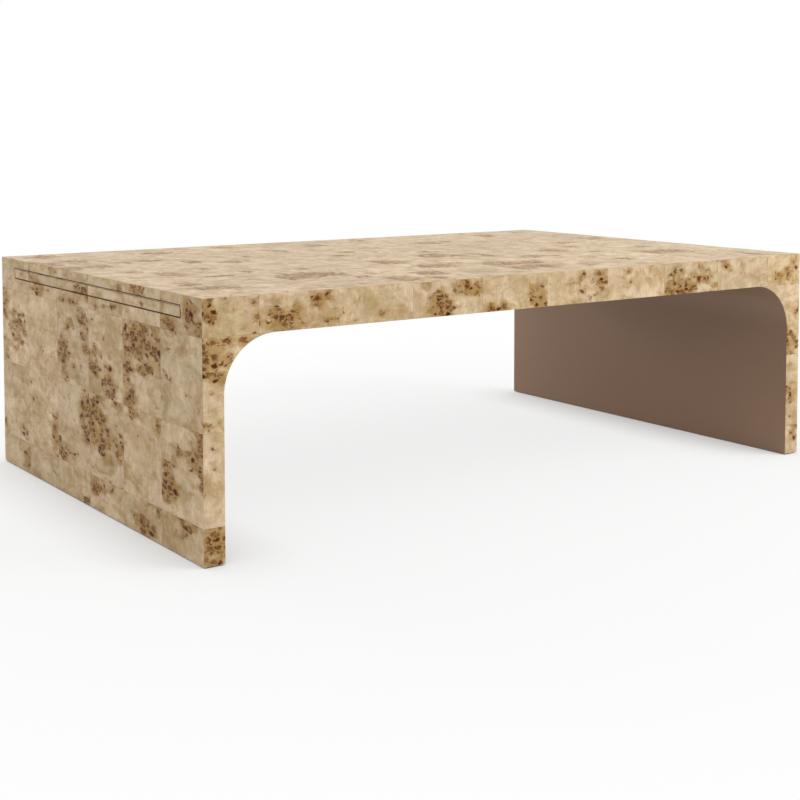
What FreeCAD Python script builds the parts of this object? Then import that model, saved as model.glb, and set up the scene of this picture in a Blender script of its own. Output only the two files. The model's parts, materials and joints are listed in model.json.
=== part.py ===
# Waterfall cocktail table with a pull-out leaf at each end.
# A thick top runs down into two full-depth slab legs. Square mitred corners
# outside, a concave arch radius inside. Burl veneer laid as squares covers the
# outer faces, taupe lacquer the arch. Each leaf rides on two ball slides and
# is held shut and pushed free by a drill-in touch latch.
#
# Frame: X along the table, left end at -X. Y across it, front at -Y. Z up.
# Origin: on the floor, under the middle of the table. Millimetres.

import FreeCAD
import Part
import math
import os

# The table
table_length = 1422.4
table_depth = 914.4
table_height = 431.8
top_thickness = 63.5
leg_thickness = 38.1
arch_radius = 95.25

# Boards and rails
inner_board_thickness = 19.05
soffit_thickness = 19.05
arch_shell_thickness = 9.5
rail_width = 38.0
stop_rail_width = 60.0
rib_thickness = 18.0
rib_count = 5
centre_rib_count = 3
shoe_height = 12.0
tongue_thickness = 4.0
tongue_width = 11.0
tongue_end_inset = 12.0
tenon_thickness = 6.0
tenon_width = 22.0
tenon_depth_in_board = 12.0
rail_tenon_length = 40.0
shoe_tenon_length = 24.0
shoe_tenon_depth = 9.0
shoe_tenon_count = 4
tenon_play = 0.05
tenon_end_play = 0.2

# Veneer
veneer = 0.8
veneer_square = 152.4

# Pull-out leaf
leaf_margin = 76.2
leaf_drop = 19.05
leaf_thickness = 19.05
leaf_gap = 1.0
leaf_front_thickness = 19.05
leaf_travel = 304.8

# Ball slide
slide_length = 450.0
slide_height = 17.0
slide_width = 10.0
slide_setback = 3.0
slide_tail = 4.2
slide_sheet = 1.0
slide_bend_radius = 1.2
ball_radius = 1.5
ball_running_gap = 0.1
ball_inset = 4.6
outer_lip_angle = 110.0
inner_lip_angle = 80.0
cage_sheet = 0.5
cage_web_gap = 0.2
cage_bend_radius = 0.5
pocket_play = 0.1
cage_strip_rise = 0.3
cage_strip_reach = 1.2
balls_per_race = 4
ball_bands = 4
ball_sides = 8
stop_tab = 1.0
stop_gap = 0.3
stop_height = 4.4

# Touch latch
latch_body_radius = 5.0
latch_body_length = 50.0
latch_collar_radius = 7.0
latch_collar_thickness = 1.5
latch_bore_play = 0.05
latch_bore_floor = 3.0
plunger_radius = 3.2
plunger_play = 0.1
plunger_stand = 3.0
plunger_length = 30.0
strike_width = 24.0
strike_height = 15.0
strike_thickness = 1.2
strike_gap = 0.3

# Glides
glide_stand = 2.0
glide_radius = 10.0
glide_edge_chamfer = 1.0
glide_count = 2
glide_end_inset = 60.0
glide_spike_width = 4.0
glide_spike_length = 9.0
glide_spike_play = 0.05

# One overrun for every cutting tool
overrun = 5.0

# Planes of the table, worked out from the sizes above
half_length = table_length / 2
half_depth = table_depth / 2
core_end = half_length - veneer
core_side = half_depth - veneer
core_top = table_height - veneer
leg_bottom = glide_stand
shoe_top = leg_bottom + shoe_height
outer_board_inside = half_length - leg_thickness + inner_board_thickness
leg_inside = half_length - leg_thickness
soffit = table_height - top_thickness
cavity_floor = soffit + soffit_thickness
cavity_top = table_height - leaf_drop + leaf_gap
arch_centre_x = leg_inside - arch_radius
arch_centre_z = soffit - arch_radius
arch_back_radius = arch_radius + arch_shell_thickness
rail_inside = core_side - rail_width

# Planes of the slot and the leaf
slot_half = half_depth - leaf_margin
slot_top = cavity_top
slot_floor = slot_top - leaf_thickness - 2 * leaf_gap
leaf_top = table_height - leaf_drop
leaf_core_top = leaf_top - veneer
leaf_bottom = leaf_top - leaf_thickness
leaf_front_half = slot_half - leaf_gap
leaf_board_half = slot_half - slide_width
leaf_front_back = half_length - leaf_front_thickness
slide_start = outer_board_inside - slide_setback
slide_end = slide_start - slide_length
leaf_back = slide_end - slide_tail
leaf_middle_z = (leaf_core_top + leaf_bottom) / 2
stop_rail_face = leaf_back - strike_thickness - strike_gap - plunger_stand - latch_collar_thickness
stop_rail_back = stop_rail_face - stop_rail_width

# Stations of the ball cage along the slide
overlap_when_open = slide_length - leaf_travel
cage_length = overlap_when_open - 2 * (stop_tab + stop_gap)
cage_start = slide_start - leaf_travel / 2 - stop_tab - stop_gap
race_radius = ball_radius + ball_running_gap
bend_to_race = race_radius + slide_sheet / 2
ball_rise = slide_height / 2 - slide_sheet - race_radius
lip_reach = ball_inset - bend_to_race - slide_sheet / 2


def vector(x, y, z):
    return FreeCAD.Vector(x, y, z)


def block(x_span, y_span, z_span):
    """A square-edged block between two stations on each axis."""
    low = [min(span) for span in (x_span, y_span, z_span)]
    size = [abs(span[1] - span[0]) for span in (x_span, y_span, z_span)]
    return Part.makeBox(size[0], size[1], size[2], vector(*low))


def span(middle, width):
    """The two stations either side of a middle."""
    return (middle - width / 2, middle + width / 2)


def cylinder(radius, start, end):
    """A round bar from one point to another."""
    way = end - start
    return Part.makeCylinder(radius, way.Length, start, way)


def loft_of_outline(edges, way):
    """A solid pushed out of a closed outline of edges."""
    return Part.Face(Part.Wire(edges)).extrude(way)


def prism_xz(points, y_from, y_to):
    """A bar along Y whose section is a polygon of (x, z) points."""
    corners = [vector(x, y_from, z) for x, z in points]
    outline = Part.makePolygon(corners + corners[:1])
    return Part.Face(outline).extrude(vector(0, y_to - y_from, 0))


def mirrored_x(shape):
    """The same piece at the other end of the table."""
    return shape.mirror(vector(0, 0, 0), vector(1, 0, 0))


def mirrored_y(shape):
    """The same piece at the other side of the table."""
    return shape.mirror(vector(0, 0, 0), vector(0, 1, 0))


def grid_lines(start, step, low, high):
    """Seam stations start + n * step that fall between low and high, with both ends."""
    first = math.ceil((low - start) / step)
    last = math.floor((high - start) / step)
    inner = [start + n * step for n in range(first, last + 1)]
    kept = [line for line in inner if low + veneer < line < high - veneer]
    return [low] + kept + [high]


def cut_into_sheets(skin, x_lines, y_lines, z_lines):
    """The separate veneer sheets that a skin is laid from."""
    sheets = []
    for x_span in zip(x_lines, x_lines[1:]):
        for y_span in zip(y_lines, y_lines[1:]):
            for z_span in zip(z_lines, z_lines[1:]):
                sheets += skin.common(block(x_span, y_span, z_span)).Solids
    return Part.makeCompound(sheets)


def bent_sheet(start, heading, steps, thickness, x_from, x_to):
    """Sheet metal bent along a path in the (y, z) plane and drawn out along X.

    A step is (length, 0) for a flat, or (radius, degrees) for a bend, where
    degrees above zero turn left. The path is the middle of the sheet.
    """
    sides = ([], [])
    point = start
    angle = math.radians(heading)
    for size, turn in steps:
        left = (-math.sin(angle), math.cos(angle))
        sweep = math.radians(turn)
        if turn == 0:
            after = (point[0] + size * math.cos(angle), point[1] + size * math.sin(angle))
        else:
            way = math.copysign(1, turn)
            centre = (point[0] + way * size * left[0], point[1] + way * size * left[1])
            half = rotate(point, centre, sweep / 2)
            after = rotate(point, centre, sweep)
        for side, offset in zip(sides, (thickness / 2, -thickness / 2)):
            begin = shift(point, angle, offset)
            end = shift(after, angle + sweep, offset)
            if turn == 0:
                side.append((begin, end))
            else:
                side.append((begin, shift(half, angle + sweep / 2, offset), end))
        point = after
        angle += sweep
    outline = sides[0] + [(sides[0][-1][-1], sides[1][-1][-1])]
    outline += [tuple(reversed(piece)) for piece in reversed(sides[1])]
    outline += [(sides[1][0][0], sides[0][0][0])]
    edges = []
    for piece in outline:
        places = [vector(x_from, y, z) for y, z in piece]
        curve = Part.LineSegment(*places) if len(places) == 2 else Part.Arc(*places)
        edges.append(curve.toShape())
    return loft_of_outline(edges, vector(x_to - x_from, 0, 0))


def rotate(point, centre, angle):
    """A point of the (y, z) plane turned about a centre."""
    y = point[0] - centre[0]
    z = point[1] - centre[1]
    turned_y = y * math.cos(angle) - z * math.sin(angle)
    turned_z = y * math.sin(angle) + z * math.cos(angle)
    return (centre[0] + turned_y, centre[1] + turned_z)


def shift(point, angle, offset):
    """A point moved to the left of its heading."""
    return (point[0] - offset * math.sin(angle), point[1] + offset * math.cos(angle))


# Every place below is worked out for the right end of the table, at +X, or
# for the front side, and mirrored for the other.

def rail_tenon(play, end_play):
    """The loose tenon in a front rail's end, or with play the mortise it fills."""
    middle_y = -(core_side + rail_inside) / 2
    middle_z = (cavity_floor + cavity_top) / 2
    tip = outer_board_inside + tenon_depth_in_board + end_play
    tail = outer_board_inside + tenon_depth_in_board - rail_tenon_length - end_play
    return block(
        (tail, tip),
        span(middle_y, tenon_width + 2 * play),
        span(middle_z, tenon_thickness + 2 * play))


def shoe_tenons(play, end_play):
    """The loose tenons between a shoe and its inner board, or with play their mortises."""
    middle_x = leg_inside + inner_board_thickness / 2
    pitch = 2 * core_side / shoe_tenon_count
    low = shoe_top - shoe_tenon_depth
    tenons = []
    for number in range(shoe_tenon_count):
        y = -core_side + (number + 0.5) * pitch
        tenons.append(block(
            span(middle_x, tenon_thickness + 2 * play),
            span(y, tenon_width + 2 * play),
            (low - end_play, low + shoe_tenon_length + end_play)))
    return tenons


def at_four_corners(shape):
    """A shape at the front right, and its copies at the other three corners."""
    front = [shape, mirrored_x(shape)]
    return front + [mirrored_y(piece) for piece in front]


def mitre_tongue(play):
    """The loose tongue across the right mitre, or with play its groove."""
    run = core_end - outer_board_inside
    rise = core_top - cavity_top
    length = math.hypot(run, rise)
    along = (run / length, rise / length)
    across = (along[1], -along[0])
    middle = (outer_board_inside + run / 2, cavity_top + rise / 2)
    half_width = tongue_width / 2 + play
    half_thickness = tongue_thickness / 2 + play
    corners = []
    for side, end in ((-1, -1), (1, -1), (1, 1), (-1, 1)):
        x = middle[0] + side * half_width * across[0] + end * half_thickness * along[0]
        z = middle[1] + side * half_width * across[1] + end * half_thickness * along[1]
        corners.append((x, z))
    y_end = core_side - tongue_end_inset + play
    return prism_xz(corners, -y_end, y_end)


def glide_places():
    """Where the glides stand under the right leg."""
    x = half_length - leg_thickness / 2
    reach = half_depth - glide_end_inset
    pitch = 2 * reach / (glide_count - 1)
    return [vector(x, -reach + number * pitch, leg_bottom) for number in range(glide_count)]


# The carcass

def top_board():
    """The board under the top veneer, mitred to both outer boards."""
    outline = [
        (-core_end, core_top),
        (core_end, core_top),
        (outer_board_inside, cavity_top),
        (-outer_board_inside, cavity_top),
    ]
    board = prism_xz(outline, -core_side, core_side)
    groove = mitre_tongue(tenon_play)
    return board.cut([groove, mirrored_x(groove)])


def soffit_board():
    """The lacquered board over the opening, from arch to arch."""
    return block(
        (-arch_centre_x, arch_centre_x), (-core_side, core_side), (soffit, cavity_floor))


def front_rail():
    """The rail that closes the leaf cavity behind the front veneer."""
    rail = block(
        (-outer_board_inside, outer_board_inside),
        (-core_side, -rail_inside),
        (cavity_floor, cavity_top))
    mortise = rail_tenon(tenon_play, tenon_end_play)
    return rail.cut([mortise, mirrored_x(mortise)])


def outer_board():
    """The right leg's outer board, mitred to the top, with the leaf's slot."""
    outline = [
        (outer_board_inside, shoe_top),
        (core_end, shoe_top),
        (core_end, core_top),
        (outer_board_inside, cavity_top),
    ]
    board = prism_xz(outline, -core_side, core_side)
    mortise = rail_tenon(tenon_play, tenon_end_play)
    return board.cut([leaf_slot(), mitre_tongue(tenon_play), mortise, mirrored_y(mortise)])


def leaf_slot():
    """The cutter of the slot that the right leaf comes out of."""
    return block(
        (outer_board_inside - overrun, half_length + overrun),
        (-slot_half, slot_half),
        (slot_floor, slot_top))


def inner_board():
    """The right leg's lacquered inner board, up to where the arch springs."""
    board = block(
        (leg_inside, outer_board_inside), (-core_side, core_side), (shoe_top, arch_centre_z))
    return board.cut(shoe_tenons(tenon_play, tenon_end_play))


def shoe():
    """The hardwood foot strip under both boards of the right leg."""
    strip = block((leg_inside, core_end), (-core_side, core_side), (leg_bottom, shoe_top))
    spikes = [glide_spike(place, glide_spike_play) for place in glide_places()]
    return strip.cut(shoe_tenons(tenon_play, tenon_end_play) + spikes)


def arch_arc(radius, y):
    """A quarter arc of the right arch, from over its centre down to the leg."""
    centre = vector(arch_centre_x, y, arch_centre_z)
    diagonal = radius * math.sqrt(0.5)
    return Part.Arc(
        centre + vector(0, 0, radius),
        centre + vector(diagonal, 0, diagonal),
        centre + vector(radius, 0, 0)).toShape()


def straight(start, end):
    return Part.LineSegment(start, end).toShape()


def arch_shell():
    """The bent plywood shell of the right arch, lacquered on its hollow side."""
    y = -core_side
    centre = vector(arch_centre_x, y, arch_centre_z)
    edges = [
        arch_arc(arch_radius, y),
        straight(centre + vector(arch_radius, 0, 0), centre + vector(arch_back_radius, 0, 0)),
        arch_arc(arch_back_radius, y),
        straight(centre + vector(0, 0, arch_back_radius), centre + vector(0, 0, arch_radius)),
    ]
    outline = Part.__sortEdges__(edges)
    return loft_of_outline(outline, vector(0, 2 * core_side, 0))


def arch_ribs():
    """The ribs that the right arch shell is bent over, spread across the depth."""
    pitch = (2 * core_side - rib_thickness) / (rib_count - 1)
    ribs = []
    for number in range(rib_count):
        y = -core_side + number * pitch
        springing = vector(arch_centre_x + arch_back_radius, y, arch_centre_z)
        crown = vector(arch_centre_x, y, arch_centre_z + arch_back_radius)
        corners = [
            crown,
            vector(arch_centre_x, y, cavity_floor),
            vector(outer_board_inside, y, cavity_floor),
            vector(outer_board_inside, y, arch_centre_z),
            springing,
        ]
        edges = [straight(a, b) for a, b in zip(corners, corners[1:])]
        edges.append(arch_arc(arch_back_radius, y))
        outline = Part.__sortEdges__(edges)
        ribs.append(loft_of_outline(outline, vector(0, rib_thickness, 0)))
    return Part.makeCompound(ribs)


def runner_rail():
    """The front rail beside the right leaf, which carries its slide."""
    return block(
        (stop_rail_face, outer_board_inside),
        (-rail_inside, -slot_half),
        (cavity_floor, cavity_top))


def stop_rail():
    """The cross rail behind the right leaf, bored for the touch latch."""
    rail = block(
        (stop_rail_back, stop_rail_face), (-rail_inside, rail_inside), (cavity_floor, cavity_top))
    bore = cylinder(
        latch_body_radius + latch_bore_play,
        vector(stop_rail_face - latch_body_length - latch_bore_play, 0, leaf_middle_z),
        vector(stop_rail_face + overrun, 0, leaf_middle_z))
    return rail.cut(bore)


def centre_ribs():
    """The ribs between the two stop rails, under the middle of the top."""
    pitch = 2 * rail_inside / (centre_rib_count + 1)
    ribs = []
    for number in range(centre_rib_count):
        y = -rail_inside + (number + 1) * pitch
        ribs.append(block(
            (-stop_rail_back, stop_rail_back),
            (y - rail_width / 2, y + rail_width / 2),
            (cavity_floor, cavity_top)))
    return Part.makeCompound(ribs)


def carcass_tenons():
    """The loose tenons of both rails and both shoes."""
    rails = at_four_corners(rail_tenon(0, 0))
    shoes = shoe_tenons(0, 0)
    return Part.makeCompound(rails + shoes + [mirrored_x(tenon) for tenon in shoes])


# The veneer

def depth_lines(low, high):
    """Seams across the depth, counted from the middle of the table."""
    return grid_lines(0, veneer_square, low, high)


def length_lines():
    """Seams along the length, counted from the middle of the table."""
    return grid_lines(0, veneer_square, -half_length, half_length)


def height_lines(low, high):
    """Seams up the legs, counted down from the soffit."""
    return grid_lines(soffit, veneer_square, low, high)


def top_veneer():
    """The squares laid over the whole top."""
    skin = block((-half_length, half_length), (-half_depth, half_depth), (core_top, table_height))
    return cut_into_sheets(
        skin, length_lines(), depth_lines(-half_depth, half_depth), [core_top, table_height])


def front_veneer():
    """The squares laid over the front face, round the arched opening."""
    skin = block((-half_length, half_length), (-half_depth, -core_side), (leg_bottom, core_top))
    skin = skin.cut(opening_cutter())
    across = [-half_depth, -core_side]
    band = cut_into_sheets(skin, length_lines(), across, [soffit, core_top])
    legs = cut_into_sheets(
        skin, [-half_length, 0, half_length], across, height_lines(leg_bottom, soffit))
    return Part.makeCompound(band.Solids + legs.Solids)


def opening_cutter():
    """The arched opening under the table, through both long faces."""
    low = leg_bottom - overrun
    y = -half_depth - overrun
    spring_left = vector(-leg_inside, y, arch_centre_z)
    spring_right = vector(leg_inside, y, arch_centre_z)
    right_arc = arch_arc(arch_radius, y)
    left_arc = mirrored_x(right_arc)
    edges = [
        straight(vector(-leg_inside, y, low), vector(leg_inside, y, low)),
        straight(vector(leg_inside, y, low), spring_right),
        right_arc,
        straight(vector(arch_centre_x, y, soffit), vector(-arch_centre_x, y, soffit)),
        left_arc,
        straight(spring_left, vector(-leg_inside, y, low)),
    ]
    outline = Part.__sortEdges__(edges)
    return loft_of_outline(outline, vector(0, table_depth + 2 * overrun, 0))


def end_veneer():
    """The squares laid over the right end, round the leaf's slot."""
    skin = block((core_end, half_length), (-core_side, core_side), (leg_bottom, core_top))
    skin = skin.cut(leaf_slot())
    return cut_into_sheets(
        skin,
        [core_end, half_length],
        depth_lines(-core_side, core_side),
        height_lines(leg_bottom, core_top))


# The leaf

def leaf_front():
    """The right leaf's front lipping, which fills the slot."""
    return block(
        (leaf_front_back, core_end),
        (-leaf_front_half, leaf_front_half),
        (leaf_bottom, leaf_core_top))


def leaf_board():
    """The right leaf's board, narrower than its front by a slide each side."""
    return block(
        (leaf_back, leaf_front_back),
        (-leaf_board_half, leaf_board_half),
        (leaf_bottom, leaf_core_top))


def leaf_veneer():
    """The sheets over the right leaf's top and front."""
    over_front = block(
        (leaf_front_back, half_length),
        (-leaf_front_half, leaf_front_half),
        (leaf_core_top, leaf_top))
    over_board = block(
        (leaf_back, leaf_front_back),
        (-leaf_board_half, leaf_board_half),
        (leaf_core_top, leaf_top))
    top_skin = over_front.fuse(over_board).removeSplitter()
    front_skin = block(
        (core_end, half_length),
        (-leaf_front_half, leaf_front_half),
        (leaf_bottom, leaf_core_top))
    seams = depth_lines(-leaf_front_half, leaf_front_half)
    from_front = grid_lines(half_length, veneer_square, leaf_back, half_length)
    top_sheets = cut_into_sheets(top_skin, from_front, seams, [leaf_core_top, leaf_top])
    front_sheets = cut_into_sheets(
        front_skin, [core_end, half_length], seams, [leaf_bottom, leaf_core_top])
    return Part.makeCompound(top_sheets.Solids + front_sheets.Solids)


def strike_plate():
    """The steel plate on the right leaf's back edge that the latch holds."""
    return block(
        (leaf_back - strike_thickness, leaf_back),
        span(0, strike_width),
        span(leaf_middle_z, strike_height))


# The ball slide, at the front of the right leaf. Its section is drawn in
# (y, z), with y counted from the runner rail's face towards the leaf.

def slide_outer():
    """The fixed member: a channel whose lips curl round the balls from outside."""
    race = (bend_to_race, -outer_lip_angle)
    corner = (slide_bend_radius, -90)
    lip_start = math.radians(outer_lip_angle - 90)
    y = -slot_half + ball_inset + bend_to_race * math.cos(lip_start)
    z = leaf_middle_z - ball_rise + bend_to_race * math.sin(lip_start)
    flat = (ball_inset - slide_sheet / 2 - slide_bend_radius, 0)
    web = (slide_height - slide_sheet - 2 * slide_bend_radius, 0)
    member = bent_sheet(
        (y, z), outer_lip_angle - 180, [race, flat, corner, web, corner, flat, race],
        slide_sheet, slide_start, slide_end)
    lug = stop_block(slide_start - stop_tab, slide_sheet / 2, lip_reach - stop_gap)
    return member.fuse(lug).removeSplitter()


def slide_inner():
    """The moving member: a channel whose lips curl round the balls from inside."""
    race = (bend_to_race, -inner_lip_angle)
    corner = (slide_bend_radius, 90)
    lip_start = math.radians(inner_lip_angle + 90)
    y = -slot_half + ball_inset + bend_to_race * math.cos(lip_start)
    z = leaf_middle_z - ball_rise + bend_to_race * math.sin(lip_start)
    flat = (slide_width - slide_sheet / 2 - slide_bend_radius - ball_inset, 0)
    web = (2 * (ball_rise - bend_to_race - slide_bend_radius), 0)
    member = bent_sheet(
        (y, z), inner_lip_angle, [race, flat, corner, web, corner, flat, race],
        slide_sheet, slide_start, slide_end)
    tab = stop_block(slide_end, slide_sheet + stop_gap, slide_width - slide_sheet / 2)
    return member.fuse(tab).removeSplitter()


def stop_block(station, y_near, y_far):
    """A stop across the slide that the ball cage runs up against."""
    return block(
        (station, station + stop_tab),
        (-slot_half + y_near, -slot_half + y_far),
        (leaf_middle_z - stop_height / 2, leaf_middle_z + stop_height / 2))


def ball_stations():
    """Stations along X of the balls in one race."""
    pitch = cage_length / balls_per_race
    return [cage_start - (number + 0.5) * pitch for number in range(balls_per_race)]


def ball_cage():
    """The strip that spaces the balls, with its balls, between the two members."""
    strip_z = ball_rise + cage_strip_rise + cage_sheet / 2
    web_y = slide_sheet + cage_web_gap + cage_sheet / 2
    reach = (ball_inset + cage_strip_reach - web_y - cage_bend_radius, 0)
    corner = (cage_bend_radius, -90)
    web = (2 * (strip_z - cage_bend_radius), 0)
    start = (-slot_half + ball_inset + cage_strip_reach, leaf_middle_z - strip_z)
    strip = bent_sheet(
        start, 180, [reach, corner, web, corner, reach],
        cage_sheet, cage_start, cage_start - cage_length)
    balls = []
    pockets = []
    for x in ball_stations():
        y = -slot_half + ball_inset
        pockets.append(block(
            span(x, 2 * (ball_radius + pocket_play)),
            span(y, 2 * (ball_radius + pocket_play)),
            span(leaf_middle_z, slide_height)))
        for side in (-1, 1):
            balls.append(ball(vector(x, y, leaf_middle_z + side * ball_rise)))
    return Part.makeCompound(strip.cut(pockets).Solids + balls)


def ball(centre):
    """A slide ball, cut in flat facets like a gem because there are so many."""
    rings = []
    for band in range(ball_bands + 1):
        polar = math.pi * band / ball_bands
        ring = []
        for side in range(ball_sides):
            turn = 2 * math.pi * side / ball_sides
            ring.append(centre + vector(
                ball_radius * math.sin(polar) * math.cos(turn),
                ball_radius * math.sin(polar) * math.sin(turn),
                ball_radius * math.cos(polar)))
        rings.append(ring)
    top, bottom = rings[0][0], rings[-1][0]
    facets = []
    for side in range(ball_sides):
        after = (side + 1) % ball_sides
        facets.append([top, rings[1][side], rings[1][after]])
        facets.append([bottom, rings[-2][after], rings[-2][side]])
        for upper, lower in zip(rings[1:-1], rings[2:-1]):
            facets.append([upper[side], lower[side], lower[after], upper[after]])
    faces = [Part.Face(Part.makePolygon(corners + corners[:1])) for corners in facets]
    return Part.makeSolid(Part.makeShell(faces))


# The touch latch behind the right leaf

def latch_body():
    """The sleeve in the stop rail, with its collar and the plunger's bore."""
    face = vector(stop_rail_face, 0, leaf_middle_z)
    out = vector(1, 0, 0)
    sleeve = cylinder(latch_body_radius, face - out * latch_body_length, face)
    collar = cylinder(latch_collar_radius, face, face + out * latch_collar_thickness)
    bore = cylinder(
        plunger_radius + plunger_play,
        face - out * (latch_body_length - latch_bore_floor),
        face + out * (latch_collar_thickness + overrun))
    return sleeve.fuse(collar).removeSplitter().cut(bore)


def latch_plunger():
    """The sprung pin whose tip meets the strike plate."""
    tip = vector(stop_rail_face + latch_collar_thickness + plunger_stand, 0, leaf_middle_z)
    return cylinder(plunger_radius, tip - vector(plunger_length, 0, 0), tip)


# The glides

def glide_spike(place, play):
    """The square spike of one glide, or with play the hole that it is driven into."""
    return block(
        span(place.x, glide_spike_width + 2 * play),
        span(place.y, glide_spike_width + 2 * play),
        (place.z, place.z + glide_spike_length + play))


def glide(place):
    """One nylon glide: a disc with a chamfered foot, and the spike moulded to it."""
    disc = cylinder(glide_radius, place - vector(0, 0, glide_stand), place)
    middle_z = place.z - glide_stand / 2
    rims = [edge for edge in disc.Edges if len(edge.Vertexes) == 1]
    foot = [edge for edge in rims if edge.Vertexes[0].Z < middle_z]
    disc = disc.makeChamfer(glide_edge_chamfer, foot)
    return disc.fuse(glide_spike(place, 0)).removeSplitter()


def export(name, shape):
    """Write one sub-part to its file."""
    shape.exportStep("parts/" + name + ".step")


def main():
    os.makedirs("parts", exist_ok=True)

    export("top_board", top_board())
    export("soffit_board", soffit_board())
    export("centre_ribs", centre_ribs())
    export("carcass_tenons", carcass_tenons())
    export("top_veneer", top_veneer())
    tongue = mitre_tongue(0)
    export("mitre_tongues", Part.makeCompound([tongue, mirrored_x(tongue)]))

    rail = front_rail()
    export("front_rail", rail)
    export("back_rail", mirrored_y(rail))
    facing = front_veneer()
    export("front_veneer", facing)
    export("back_veneer", mirrored_y(facing))

    both_ends = {
        "outer_board": outer_board(),
        "inner_board": inner_board(),
        "shoe": shoe(),
        "arch_shell": arch_shell(),
        "arch_ribs": arch_ribs(),
        "stop_rail": stop_rail(),
        "end_veneer": end_veneer(),
        "leaf_front": leaf_front(),
        "leaf_board": leaf_board(),
        "leaf_veneer": leaf_veneer(),
        "strike_plate": strike_plate(),
        "latch_body": latch_body(),
        "latch_plunger": latch_plunger(),
    }
    for name, piece in both_ends.items():
        export("right_" + name, piece)
        export("left_" + name, mirrored_x(piece))

    both_sides = {
        "runner_rail": runner_rail(),
        "slide_outer": slide_outer(),
        "slide_inner": slide_inner(),
        "ball_cage": ball_cage(),
    }
    for name, piece in both_sides.items():
        export("right_front_" + name, piece)
        export("right_back_" + name, mirrored_y(piece))
        export("left_front_" + name, mirrored_x(piece))
        export("left_back_" + name, mirrored_x(mirrored_y(piece)))

    glides = [glide(place) for place in glide_places()]
    export("glides", Part.makeCompound(glides + [mirrored_x(piece) for piece in glides]))


main()
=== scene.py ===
# The looks of a low waterfall cocktail table: burl veneer laid in squares, a
# lacquered arch, and a pull-out leaf on ball slides at each end.
# Metres, Z up, the front at -Y and the left end at -X.

import json
import math
import random

import bmesh
import bpy
from mathutils import Matrix, Vector

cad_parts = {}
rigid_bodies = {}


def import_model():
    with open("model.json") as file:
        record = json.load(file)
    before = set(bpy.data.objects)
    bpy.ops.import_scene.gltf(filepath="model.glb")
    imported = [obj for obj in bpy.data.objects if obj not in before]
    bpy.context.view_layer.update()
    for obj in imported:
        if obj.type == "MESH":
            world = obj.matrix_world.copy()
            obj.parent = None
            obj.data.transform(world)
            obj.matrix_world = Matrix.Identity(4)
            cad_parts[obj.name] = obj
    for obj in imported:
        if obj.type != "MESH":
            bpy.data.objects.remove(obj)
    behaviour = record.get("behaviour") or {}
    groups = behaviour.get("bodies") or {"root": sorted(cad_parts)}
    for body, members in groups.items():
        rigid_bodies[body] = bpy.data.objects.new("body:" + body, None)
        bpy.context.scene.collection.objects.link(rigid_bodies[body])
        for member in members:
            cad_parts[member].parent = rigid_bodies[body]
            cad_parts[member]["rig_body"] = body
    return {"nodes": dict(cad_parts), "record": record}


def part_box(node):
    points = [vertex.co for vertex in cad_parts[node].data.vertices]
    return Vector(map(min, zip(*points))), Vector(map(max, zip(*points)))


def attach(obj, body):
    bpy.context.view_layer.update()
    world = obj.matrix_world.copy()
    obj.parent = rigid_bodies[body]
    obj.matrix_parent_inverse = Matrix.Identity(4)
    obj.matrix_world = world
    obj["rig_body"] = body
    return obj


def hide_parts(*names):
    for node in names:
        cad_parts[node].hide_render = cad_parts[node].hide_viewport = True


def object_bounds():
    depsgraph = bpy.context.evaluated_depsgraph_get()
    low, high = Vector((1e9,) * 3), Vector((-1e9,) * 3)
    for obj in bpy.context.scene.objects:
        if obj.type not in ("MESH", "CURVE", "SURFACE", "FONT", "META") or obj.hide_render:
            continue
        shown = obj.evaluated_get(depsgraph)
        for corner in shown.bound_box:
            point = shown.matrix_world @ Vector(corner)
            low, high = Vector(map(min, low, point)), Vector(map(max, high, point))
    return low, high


bl_info = {
    "name": "Burl cocktail table",
    "version": (1, 0, 0),
    "blender": (4, 5, 0),
    "location": "3D View > Sidebar > Table",
    "description": "Dresses the table in burl veneer, lacquer and its fittings",
    "category": "Object",
}

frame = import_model()
cad_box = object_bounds()

# Planes of the table, read from the frame
end_x, side_y, top_z = cad_box[1]
core_x, core_y, core_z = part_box("top_board")[1]
veneer = end_x - core_x
foot_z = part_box("front_veneer")[0].z
leg_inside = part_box("right_inner_board")[0].x
arch_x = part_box("soffit_board")[1].x
soffit_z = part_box("soffit_board")[0].z
spring_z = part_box("right_inner_board")[1].z
arch_radius = soffit_z - spring_z
shell_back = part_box("right_arch_shell")[1].x
leaf_low, leaf_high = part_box("right_leaf_front")
leaf_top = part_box("right_leaf_veneer")[1].z
leaf_back, leaf_board_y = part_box("right_leaf_board")[0].x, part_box("right_leaf_board")[1].y
slot_of = {part["node"]: part["material_slot"] for part in frame["record"]["subparts"]}

X, Y, Z = 0, 1, 2
LEFT, RIGHT = -1, 1
SIDES = {LEFT: "left", RIGHT: "right"}
MILLIMETRE = 0.001
# Places nearer than this are one place
touching = 1e-5
# A face looks along an axis where its normal has more than this share along it
square_on = 0.9
# Edges that turn by fewer degrees than this are shaded smooth
smooth_turn = 35

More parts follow.
